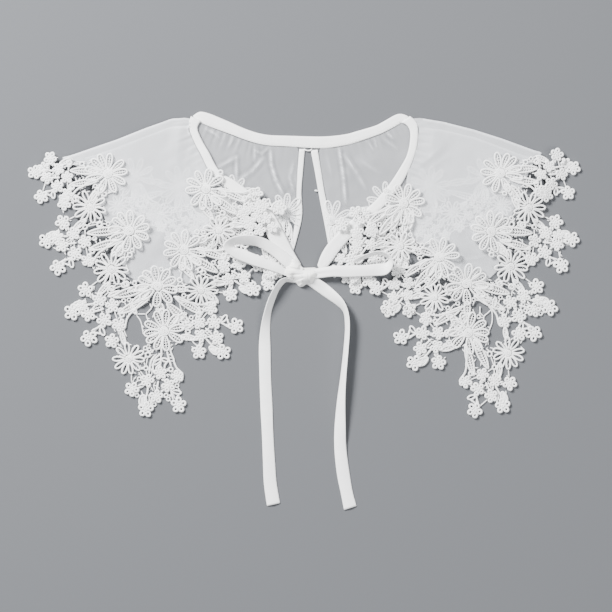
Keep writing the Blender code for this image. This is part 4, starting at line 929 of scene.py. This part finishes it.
def join_forms(cords, motifs, gaps):
    """Short threads between neighbouring flowers and rosettes, kept out of the wide gaps."""
    spots = []
    for number, motif in enumerate(motifs):
        spots += [(number, name, motif.form(name), motif.reach(name)) for name in motif.rosettes]
        for v, u, radius in RINGS:
            spots.append((number, "ring", motif.place([(v, u)])[0], radius * motif.scale))
        if motif.flowers != "none":
            spots += motif.petal_tips((0.0, 0.0), FLOWER_RADIUS / motif.scale, FLOWER_PETALS, number)
        if motif.flowers == "both":
            spots += motif.petal_tips(SMALL_FLOWER, SMALL_RADIUS, SMALL_PETALS, number)
    places, reaches = np.array([spot[2] for spot in spots]), np.array([spot[3] for spot in spots])
    for i, (number, name, place, reach) in enumerate(spots):
        away = np.hypot(*(places - place).T)
        between = away - reaches - reach
        for j in np.argsort(between):
            same = spots[j][0] == number and spots[j][1] == name
            if j <= i or same or between[j] > JOIN_REACH:
                continue
            run = (places[j] - place) / max(away[j], 1e-6)
            ends = np.array([place + run * reach * 0.8, places[j] - run * reaches[j] * 0.8])
            if not any(in_gap(ends.mean(axis=0), gap) for gap in gaps):
                cords.add(smooth_line(ends, 1.5), CORD if between[j] < 2.5 else BRIDE)


def join_bands(cords, motifs, links):
    """Ladder leaves that join the forms of neighbouring motifs."""
    for start, start_form, end, end_form, half_width in links:
        a, b = motifs[start].form(start_form), motifs[end].form(end_form)
        if a is None or b is None:
            continue
        run = (b - a) / np.hypot(*(b - a))
        foot = a + run * motifs[start].reach(start_form) * 0.75
        tip = b - run * motifs[end].reach(end_form) * 0.75
        if (tip - foot) @ run > 5.0:
            add_leaf(cords, foot, tip, min(2.4, half_width))


def add_loose_forms(cords, side, rng):
    """The front lace's forms that belong to no motif."""
    single = Motif((0.0, 0.0, MOTIF_LENGTH, 0.0, "none", ()), 1, True, cords, rng)
    for x, y, radius in LOOSE_ROSETTES[side]:
        single.rosette(x, y, radius)
    for x0, y0, x1, y1, half_width in LOOSE_LEAVES[side]:
        add_leaf(cords, np.array((x0, y0)), np.array((x1, y1)), half_width)
    for x, y, radius in LOOSE_RINGS[side]:
        cords.add(ellipse(x, y, radius, radius, 0.0, 12), CORD, closed=True)
    for x, y, radius, *foot in STALKED_ROSETTES[side]:
        single.rosette(x, y, radius)
        run = (np.array(foot) - (x, y)) / np.hypot(foot[0] - x, foot[1] - y)
        aside = np.array((-run[1], run[0])) * STALK_SPACE
        start = (x, y) + run * (radius - 1.0)
        for way in (-1, 1):
            cords.add(smooth_line([start + aside * way, foot + aside * way * 1.6], 1.6), BRIDE)
    for line in BRIDES[side]:
        cords.add(smooth_line(line, 1.5), BRIDE)


def fill_lace(cords, rng):
    """Small rings and crossed threads wherever the lace node has more space than the lace."""
    skin = cords.skin
    low, high = np.min(skin.corners, axis=0) / MM, np.max(skin.corners, axis=0) / MM
    for _ in range(FILL_ROUNDS):
        filled = []
        laid = np.vstack([line[0] for line in cords.lines])
        tree = KDTree(len(laid))
        for number, spot in enumerate(laid):
            tree.insert((*spot, 0.0), number)
        tree.balance()
        for x in np.arange(low[0], high[0], FILL_STEP):
            for y in np.arange(low[1], high[1], FILL_STEP):
                spot = np.array((x, y)) - TABLE_TO_FRAME + rng.uniform(-FILL_SHIFT, FILL_SHIFT, 2)
                if skin.tree.find_nearest(Vector((*in_frame(*spot), 0.0)), ON_SKIN)[0] is None:
                    continue
                _, _, space = tree.find((*spot, 0.0))
                crowded = any(np.hypot(*(spot - other)) < FILL_APART for other in filled)
                if space < FILL_SPACE or crowded:
                    continue
                near = tree.find_range((*spot, 0.0), FILL_REACH)
                ends = spread_out(spot, [np.array(place[:2]) for place, _, _ in near])
                if ends is None:
                    continue
                filled.append(spot)
                if space >= FILL_RING:
                    size = min(1.5, space - 1.0)
                    cords.add(ellipse(*spot, size, size, 0.0, 10), BRIDE * 1.1, closed=True)
                for end in ends:
                    cords.add(smooth_line([spot + (end - spot) * 0.3, end], 1.4), BRIDE)


def spread_out(spot, near):
    """Three of the places near a spot that lie all round it, or None if they don't."""
    if not near:
        return None
    ways = [(place - spot) / max(np.hypot(*(place - spot)), 1e-6) for place in near]
    chosen = [0]
    while len(chosen) < 3:
        closeness = [max(float(way @ ways[i]) for i in chosen) for way in ways]
        chosen.append(int(np.argmin(closeness)))
        if min(closeness) > 0.1:
            return None
    return [near[i] for i in chosen]


def clear_of_slit(side):
    """A test for the points on a side's own side of its slit binding."""
    slit, hand = np.array(SLIT_BINDING[side])[::-1, :2], SIDES[side]
    return lambda points: (
        (points[:, 0] - np.interp(points[:, 1], slit[:, 1], slit[:, 0])) * hand < -1.0
    )


def add_lace(part, side, material):
    """The back's or the front's border of lace motifs, joined; the front's also gets its loose forms
    and is filled.
    """
    front, node = part == "front", f"{part}_lace_{side}"
    motif_rows, links = LACES[part]
    rows = motif_rows[side]
    rng = np.random.default_rng(len(rows) * 100 + (SIDES[side] + 2) * 10)
    cords = Cords(Skin([node], -1), None if front else clear_of_slit(side))
    motifs = []
    for number, row in enumerate(rows):
        as_drawn = front and (side, number) in AS_DRAWN
        motifs.append(Motif(row, SIDES[side], as_drawn, cords, rng))
        motifs[-1].build()
    join_bands(cords, motifs, links)
    join_forms(cords, motifs, GAPS[side] if front else ())
    if front:
        add_loose_forms(cords, side, rng)
        fill_lace(cords, rng)
    lace = cords.build(f"{node}_thread", material)
    dress(lace, "lace_thread", node)
    return lace


# Sheer panels
def seeded_waves(x, y, seed, count, shortest, longest, height):
    """Soft irregular waves: a sum of plane waves in all directions."""
    rng = np.random.default_rng(seed)
    total = np.zeros_like(x)
    for _ in range(count):
        length = math.exp(rng.uniform(math.log(shortest), math.log(longest)))
        angle, phase = rng.uniform(0, math.pi), rng.uniform(0, 2 * math.pi)
        way = x * math.cos(angle) + y * math.sin(angle)
        total += np.sin(2 * math.pi * way / length + phase) * (length / longest) ** 0.7
    return total * height / math.sqrt(count)


def fold_heights(x, y, folds):
    """Sharp-backed folds that rise and die away along their lines, with a trough beside each."""
    heights = np.zeros_like(x)
    for x0, y0, x1, y1, height, half_width in folds:
        away, along = nearest_on_line(x, y, ((x0, y0), (x1, y1)))
        share = along / math.hypot(x1 - x0, y1 - y0)
        fade = 0.45 + 0.55 * np.sin(np.clip(share, 0, 1) * math.pi)
        trough = np.exp(-((away - 2.4 * half_width) / (1.4 * half_width)) ** 2)
        heights += height * fade * (np.exp(-(away / half_width) ** 1.5) - FOLD_HOLLOW * trough)
    return heights


def gather_heights(x, y, seam, seed):
    """Small gathers that run out from a seam."""
    away, along = nearest_on_line(x, y, seam)
    turn = 2 * math.pi * along / GATHER_LENGTH
    swing = 2 * math.pi * 1.4 / GATHER_LENGTH * np.sin(along / 9.0)
    waves = np.sin(turn + swing) + 0.4 * np.sin(turn / 0.62 + 1.3)
    uneven = 0.55 + 0.45 * np.sin(along / 13.0 + seed)
    return GATHER_HEIGHT * np.exp(-(away / GATHER_REACH) ** 2) * waves * uneven


def neck_share(x, y, side):
    """One inside the neck opening, falling to nought under the front panel."""
    line = np.array(NECK_BINDING_FRONT[side])[:, 2:]
    away, _ = nearest_on_line(x, y, line)
    edge = np.interp(y, line[::-1, 1], line[::-1, 0])
    inward = (x - edge) * SIDES[side]
    return np.clip(np.where(inward > 0, away, -away) / NECK_EDGE + 0.2, 0, 1)


def slope_share(x, y, z, faces):
    """How much more cloth lies over each point than where it is level."""
    a, b, c = (np.stack([x, y, z], axis=1)[faces[:, k]] for k in range(3))
    normal = np.cross(b - a, c - a)
    stretch = np.linalg.norm(normal, axis=1) / np.maximum(np.abs(normal[:, 2]), 1e-9) - 1
    total, count = np.zeros(len(x)), np.zeros(len(x))
    for k in range(3):
        np.add.at(total, faces[:, k], stretch)
        np.add.at(count, faces[:, k], 1)
    return total / np.maximum(count, 1)


def add_panel(part, side, material):
    """The back's or the front's thin sheer panel, which lies in the space of its node."""
    node = f"{part}_panel_{side}"
    folds, seed, body = PANELS[part]
    seed += SIDES[side]
    if part == "back":
        seam = [row[2:] for row in NECK_BINDING_BACK if (row[2] < SLIT_X) == (side == "left")]
    else:
        seam = [row[2:] for row in NECK_BINDING_FRONT[side][:FRONT_SEAM_ROWS]]
    rim = smooth_line(rim_of(node), CLOTH_STEP, closed=True)
    near = 1 - np.hypot(*(rim - CORNERS[side]).T)[:, None] / CORNER_REACH
    rim += (np.array(CORNERS[side]) - rim) * np.sqrt(np.clip(near, 0, 1))
    x, y, faces = cloth_grid(rim, CLOTH_STEP)
    loose = neck_share(x, y, side) if part == "back" else FRONT_LOOSE
    gathers = gather_heights(x, y, seam, seed)
    waves = seeded_waves(x, y, seed, *WAVES)
    creases = fold_heights(x, y, folds) + GATHER_CREASE * gathers + WAVE_CREASE * waves
    creases *= 0.3 + 0.7 * loose
    z = relaxed(Skin([node], 1).heights(x, y), faces, SETTLING)
    z += FOLD_SHARE * creases + (waves + gathers) * (0.2 + 0.5 * loose)
    z = np.maximum(z, CLOTH_WALL)
    shoulder = np.exp(-(from_rim(x, y, rim) / SHOULDER_LINE) ** 2)
    shoulder *= (y > SHOULDER_FROM[1]) * (np.abs(x) > SHOULDER_FROM[0])
    # Slopes crowd the weave. The creases, gathers and waves also whiten it on their ridges as painted
    # highlight, and thin it in their hollows as painted shade.
    crowding_and_fold_light = CROWDING * slope_share(x, y, z, faces) + FOLD_HIGHLIGHT_AND_SHADE * creases * np.abs(creases)
    density_and_fold_light = np.tile(np.clip(body + crowding_and_fold_light + shoulder, 0, 1), 2)
    points, all_faces = closed_sheet(x, y, z + CLOTH_WALL / 2, z - CLOTH_WALL / 2, faces)
    corners = [corner for face in all_faces for corner in face]
    uvs = np.column_stack([density_and_fold_light[corners], np.zeros(len(corners))])
    panel = add_piece(f"{node}_cloth", points, all_faces, material, uvs)
    dress(panel, "organza", node)
    return panel


# Tapes and ribbons
def sweep(name, rings, material, across):
    """A closed strip from rings of points, with flat ends."""
    rings, across = np.asarray(rings), np.append(across, across[0])
    count, sides = rings.shape[:2]
    ends = [tuple(range(sides))[::-1], tuple(range((count - 1) * sides, count * sides))]
    uvs = quad_places(run_along(rings.mean(axis=1)), across)
    return add_piece(name, rings.reshape(-1, 3), tube_quads(count, sides).tolist() + ends,
                     material, np.vstack([uvs, np.zeros((2 * sides, 2))]))


def add_tape(node, rows, height, material, seed):
    """A folded tape that encloses a raw edge, with a groove where its stitches lie."""
    rows = smooth_line(rows, TAPE_STEP)
    shares = np.concatenate([np.linspace(0.0, 1.0, 15), np.linspace(1.0, 0.0, 9)[1:-1]])
    crown = np.sqrt(np.clip(1 - np.abs(2 * shares - 1) ** 5, 0, 1))
    groove = TAPE_GROOVE * np.exp(-((shares - STITCH_PLACE) / GROOVE_SHARE) ** 2)
    profile = np.where(np.arange(len(shares)) < 15, height * (0.5 + 0.5 * crown) - groove,
                       height * (0.5 - 0.46 * crown))
    middles = (rows[:, :2] + rows[:, 2:]) / 2
    low = evened(Skin([node], -1).heights(middles[:, 0], middles[:, 1]))
    phases = np.random.default_rng(seed).uniform(0, 2 * math.pi, 4)
    rings = []
    for row, along, floor in zip(rows, run_along(rows[:, :2]), low):
        first, run = row[:2], row[2:] - row[:2]
        wave = 0.05 * math.sin(along / 2.6 + phases[0]) + 0.06 * math.sin(along / 6.1 + phases[1])
        sway = 0.12 * math.sin(along / 9.0 + phases[2])
        points = first + run * shares[:, None] + run / np.hypot(*run) * sway
        rings.append(np.column_stack([points, floor + profile * (1 + wave)]))
    width = np.hypot(*(rows[0, 2:] - rows[0, :2]))
    tape = sweep(f"{node}_tape", rings, material, shares * width)
    dress(tape, "ribbon", node)
    return tape


def add_stitches(tapes, material):
    """Short threads along the seams of the tapes, each with its node, rows and height."""
    vertices, faces = [], []
    for node, rows, height in tapes:
        rows = smooth_line(rows, TAPE_STEP)
        line = rows[:, :2] + (rows[:, 2:] - rows[:, :2]) * STITCH_PLACE
        skin, length = Skin([node], -1), run_along(line)
        for start in np.arange(STITCH_ENDS[0], length[-1] - STITCH_ENDS[1], STITCH_LENGTH + STITCH_GAP):
            at = np.array([0.0, 0.25, 0.75, 1.0]) * STITCH_LENGTH + start
            stitch = np.column_stack([np.interp(at, length, line[:, axis]) for axis in (0, 1)])
            low = float(skin.heights(*stitch[1:2].T)[0]) + height - STITCH_SINK
            run = (stitch[3] - stitch[0]) / np.hypot(*(stitch[3] - stitch[0]))
            aside = np.tile((-run[1], run[0]), (4, 1))
            faces.append(tube_quads(4, STITCH_SIDES) + len(vertices) * 4 * STITCH_SIDES)
            vertices.append(tube_rings(stitch, low + STITCH_RISE, aside, STITCH_THICK,
                                       STITCH_SIDES).reshape(-1, 3))
    return add_piece("binding_stitches", np.vstack(vertices), np.vstack(faces), material)


def add_ribbon(node, rows, skin, material, pleats, seed, lift):
    """A thin ribbon between two edges, curved across, with pleats that fade from its start."""
    rows = np.asarray(rows, dtype=float)
    onward = (rows[0] - rows[1]) / np.linalg.norm((rows[0] - rows[1])[:2])
    rows = smooth_line(np.vstack([rows[0] + onward * RUN_ON, rows]), RIBBON_STEP, axes=3)
    lengths = run_along((rows[:, :3] + rows[:, 3:]) / 2)
    for edge in (0, 3):
        rows[:, edge + 2] *= lift
        rows[:, edge + 2] += evened(skin.heights(rows[:, edge], rows[:, edge + 1]))
    shares = np.linspace(0.0, 1.0, 11)
    phase = np.random.default_rng(seed).uniform(0, 2 * math.pi)
    edge_roll = RIBBON_ROLL * np.exp(-(np.minimum(shares, 1 - shares) / ROLL_SHARE) ** 2)
    centre = []
    for row, along in zip(rows, lengths):
        first, chord = row[:3], row[3:] - row[:3]
        points = first + chord * shares[:, None]
        camber = RIBBON_CAMBER * np.linalg.norm(chord) * (1 - (2 * shares - 1) ** 2)
        folds = np.sin(shares * 3.2 * math.pi + 0.5 + 0.02 * along)
        ripple = RIBBON_RIPPLE * math.sin(along / RIPPLE_LENGTH + phase) * (shares - 0.5)
        points[:, 2] += camber + pleats * math.exp(-along / PLEAT_FADE) * folds + ripple + edge_roll
        centre.append(points)
    centre = np.array(centre)
    normal = np.cross(np.gradient(centre, axis=0), np.gradient(centre, axis=1))
    normal /= np.maximum(np.linalg.norm(normal, axis=2, keepdims=True), 1e-9)
    if normal[..., 2].sum() < 0:
        normal = -normal
    upper, lower = centre + normal * RIBBON_WALL / 2, centre - normal * RIBBON_WALL / 2
    rings = np.concatenate([upper, lower[:, ::-1]], axis=1)
    rings[..., 2] -= min(0.0, float(lower[..., 2].min()) - RIBBON_CLEARANCE)
    across = np.concatenate([shares, shares[::-1]]) * RIBBON_WIDTH
    ribbon = sweep(f"{node}_ribbon", rings, material, across)
    dress(ribbon, "ribbon", node)
    return ribbon


# Knot
def knot_pleats(x, y):
    """Folds that fan out from the waist on both sides, and the wrap's own folds across it."""
    left, right = KNOT_WRAP
    beyond = np.maximum(left - x, 0.0) + np.maximum(x - right, 0.0)
    spread = (y - KNOT_WAIST_Y) / (KNOT_WAIST_HALF + 0.32 * beyond)
    fan = np.cos(spread * 2 * math.pi * 1.45 + 0.7 * np.sign(x - left) + 0.03 * x)
    fan += 0.5 * np.cos(spread * 2 * math.pi * 2.7 + 1.1)
    on_wrap = 1 / (1 + np.exp(-(x - left) / 0.35)) / (1 + np.exp((x - right) / 0.35))
    folds = np.cos((x - left) * 2 * math.pi / 2.5 + 0.06 * (y - KNOT_WAIST_Y))
    groove = np.exp(-((x - left) / 0.5) ** 2) + np.exp(-((x - right) / 0.5) ** 2)
    return KNOT_PLEAT * (fan * (1 - on_wrap) + 0.5 * folds * on_wrap) + 0.5 * on_wrap - 0.3 * groove


def add_knot(material):
    """The knot: pleated cloth over the ribbons' ends, held in at its waist by a wrap."""
    rim = smooth_line(KNOT_RIM, KNOT_STEP, closed=True)
    x, y, faces = cloth_grid(rim, KNOT_STEP)
    strands = Skin(STRANDS, 1)
    bare = strands.distances(x, y) > KNOT_BARE
    base = relaxed(np.where(bare, KNOT_EDGE, strands.heights(x, y) + KNOT_CLEARANCE), faces, 5)
    rise = 1 - np.exp(-(from_rim(x, y, rim) / KNOT_ROUNDING) ** 1.3)
    waist = WAIST_RISE * (1 - np.clip(np.abs(y - KNOT_WAIST_Y) / WAIST_REACH, 0, 1) ** 2)
    z = base + (KNOT_TOP + waist - base) * rise + knot_pleats(x, y) * (0.25 + 0.75 * rise)
    points, all_faces = closed_sheet(x, y, z, np.full(len(x), KNOT_FOOT), faces)
    knot = add_piece("bow_knot_cloth", points, all_faces, material)
    dress(knot, "ribbon", "bow_knot")
    return knot


# Materials
class Looks:
    """A material: its shader with the plain values set, and the nodes that feed it."""

    def __init__(self, name, colour, roughness, sheen, gloss=0.35, alpha=1.0):
        self.material = bpy.data.materials.new(name)
        self.material.use_nodes = True
        self.nodes, self.link = self.material.node_tree.nodes, self.material.node_tree.links.new
        self.shader = self.nodes["Principled BSDF"]
        plain = {"Base Color": (*colour, 1.0), "Roughness": roughness, "Sheen Weight": sheen,
                 "Sheen Roughness": 0.5, "Specular IOR Level": gloss, "Alpha": alpha}
        for socket, value in plain.items():
            self.shader.inputs[socket].default_value = value

    def node(self, kind, **values):
        """A node with the named inputs or settings."""
        node = self.nodes.new(kind)
        for key, value in values.items():
            socket = key.replace("_", " ")
            if socket in node.inputs:
                node.inputs[socket].default_value = value
            else:
                setattr(node, key, value)
        return node

    def texture(self, kind, place, **values):
        """A texture node that reads its places from a socket."""
        node = self.node(kind, **values)
        self.link(place, node.inputs["Vector"])
        return node

    def math(self, operation, *values):
        """The result of a Math node whose inputs are numbers or sockets."""
        node = self.node("ShaderNodeMath", operation=operation)
        for number, value in enumerate(values):
            if isinstance(value, float):
                node.inputs[number].default_value = value
            else:
                self.link(value, node.inputs[number])
        return node.outputs["Value"]

    def tint(self, texture, dark, light, start, end):
        """Colour that a texture mixes from two shades."""
        ramp = self.node("ShaderNodeValToRGB")
        shades = zip(ramp.color_ramp.elements, (dark, light), (start, end))
        for element, colour, position in shades:
            element.color, element.position = (*colour, 1.0), position
        self.link(texture.outputs["Fac"], ramp.inputs["Fac"])
        self.link(ramp.outputs["Color"], self.shader.inputs["Base Color"])

    def bump(self, height, strength, distance):
        """Relief of the threads, finer than the mesh."""
        bump = self.node("ShaderNodeBump", Strength=strength, Distance=distance)
        self.link(height, bump.inputs["Height"])
        self.link(bump.outputs["Normal"], self.shader.inputs["Normal"])


def thread_material():
    """Matt cotton thread, its stitches wrapped across the cords."""
    looks = Looks("lace_thread_cotton", THREAD_WHITE, 0.82, 0.2)
    place = looks.node("ShaderNodeTexCoord").outputs
    stitches = looks.texture("ShaderNodeTexWave", place["UV"], Scale=0.85, Distortion=0.6, Detail=1.0)
    blotches = looks.texture("ShaderNodeTexNoise", place["Object"], Scale=260.0, Detail=3.0)
    looks.tint(blotches, THREAD_SHADE, THREAD_WHITE, 0.25, 0.55)
    looks.bump(stitches.outputs["Fac"], 0.35, 0.00012)
    return looks.material


def sheer_material():
    """Crisp sheer weave, denser where folds crowd it, with painted highlight on the folds' ridges and
    painted shade in their hollows.
    """
    looks = Looks("organza_weave", CLOTH_WHITE, 0.42, 0.35, gloss=0.5, alpha=0.25)
    layer = looks.node("ShaderNodeUVMap", uv_map=CLOTH_LAYER)
    density_and_fold_light = looks.texture("ShaderNodeSeparateXYZ", layer.outputs["UV"])
    place = looks.node("ShaderNodeTexCoord").outputs["Object"]
    cloudy = looks.texture("ShaderNodeTexNoise", place, Scale=60.0, Detail=4.0)
    weave = [
        looks.texture("ShaderNodeTexWave", place, bands_direction=way, Scale=900.0,
                      Distortion=0.8, Detail=1.0).outputs["Fac"]
        for way in ("X", "Y")
    ]
    base = looks.node("ShaderNodeMapRange", To_Min=SPARSE_COVER[0], To_Max=SPARSE_COVER[1])
    looks.link(cloudy.outputs["Fac"], base.inputs["Value"])
    # The cloth layer's density brings the painted fold highlight and painted shade into the cover.
    cover = looks.math("MULTIPLY_ADD", density_and_fold_light.outputs["X"], DENSE_COVER, base.outputs["Result"])
    looks.link(cover, looks.shader.inputs["Alpha"])
    looks.bump(looks.math("ADD", *weave), 0.25, 0.00006)
    return looks.material


def ribbon_material(name, white):
    """Soft satin with fine threads across and a faint mottling."""
    looks = Looks(name, white, 0.5, 0.3)
    place = looks.node("ShaderNodeTexCoord").outputs["Object"]
    threads = looks.texture("ShaderNodeTexWave", place, bands_direction="DIAGONAL", Scale=900.0,
                            Distortion=1.5, Detail=2.0)
    mottle = looks.texture("ShaderNodeTexNoise", place, Scale=90.0, Detail=4.0)
    looks.tint(mottle, RIBBON_SHADE, white, 0.15, 0.6)
    looks.bump(threads.outputs["Fac"], 0.2, 0.00008)
    return looks.material


# Camera, light and floor
def add_camera():
    """A long lens straight above the collar."""
    data = bpy.data.cameras.new("camera")
    data.sensor_width = SENSOR_WIDTH
    data.lens = SENSOR_WIDTH * CAMERA_HEIGHT / (VIEW_WIDTH * MM)
    data.clip_end = 50.0
    camera = add_object("camera", data)
    camera.location = (VIEW_CENTRE[0] * MM, VIEW_CENTRE[1] * MM, CAMERA_HEIGHT)
    bpy.context.scene.camera = camera


def add_lamp(name, place, size, power):
    """A square soft box that faces the collar."""
    data = bpy.data.lights.new(name, "AREA")
    data.size, data.energy = size, power
    lamp = add_object(name, data)
    lamp.location = place
    lamp.rotation_euler = (-Vector(place)).to_track_quat("-Z", "Y").to_euler()


def add_stage():
    """A plain floor, a pale surround and soft lamps."""
    mesh = bpy.data.meshes.new("floor")
    corners = [(-3, -3, 0), (3, -3, 0), (3, 3, 0), (-3, 3, 0)]
    mesh.from_pydata(corners, [], [(0, 1, 2, 3)])
    mesh.materials.append(Looks("floor", FLOOR_GREY, 0.95, 0.0).material)
    floor = add_object("floor", mesh)
    floor.location.z = FLOOR_Z
    world = bpy.data.worlds.new("surround")
    world.use_nodes = True
    surround = world.node_tree.nodes["Background"].inputs
    surround["Color"].default_value = (*SURROUND_COLOUR, 1.0)
    surround["Strength"].default_value = SURROUND_STRENGTH
    bpy.context.scene.world = world
    for lamp in LAMPS:
        add_lamp(*lamp)


# The whole collar
def dress_laces(thread):
    """The lace borders of the back and the front."""
    for side in SIDES:
        back, front = add_lace("back", side, thread), add_lace("front", side, thread)


def dress_panels(sheer):
    """The sheer panels."""
    for side in SIDES:
        back, front = add_panel("back", side, sheer), add_panel("front", side, sheer)


def dress_tapes(satin, thread):
    """The bindings, their stitches, and the thread loop and nub at the slit."""
    tapes = [("neck_binding_back", NECK_BINDING_BACK, TAPE_HEIGHT)]
    for side in SIDES:
        tapes.append((f"neck_binding_front_{side}", NECK_BINDING_FRONT[side], TAPE_HEIGHT))
        tapes.append((f"slit_binding_{side}", SLIT_BINDING[side], SLIT_TAPE_HEIGHT))
    for number, (node, rows, height) in enumerate(tapes):
        tape = add_tape(node, rows, height, satin, number)
    dress(add_stitches(tapes, thread), "lace_thread")
    cords = Cords(FloorSkin())
    for line, radius, lift in SLIT_THREADS:
        cords.add(smooth_line(line, SLIT_THREAD_STEP), radius, lift)
    dress(cords.build("slit_threads", thread), "lace_thread")


def dress_bow(satin, knot_satin):
    """The knot, the loops and the tails."""
    knot = add_knot(knot_satin)
    for side in SIDES:
        node = f"bow_loop_{side}"
        loop = add_ribbon(node, BOW_LOOP[side], Skin([node], -1), satin, pleats=0.4, seed=3, lift=0.0)
        tail = add_ribbon(f"tie_tail_{side}", TIE_TAIL[side], FloorSkin(), satin, pleats=0.25,
                          seed=5, lift=1.0)


add_camera()
add_stage()
lace_thread = thread_material()
dress_laces(lace_thread)
dress_panels(sheer_material())
ribbon_satin = ribbon_material("ribbon_satin", RIBBON_WHITE)
dress_tapes(ribbon_satin, lace_thread)
dress_bow(ribbon_satin, ribbon_material("ribbon_knot", KNOT_WHITE))
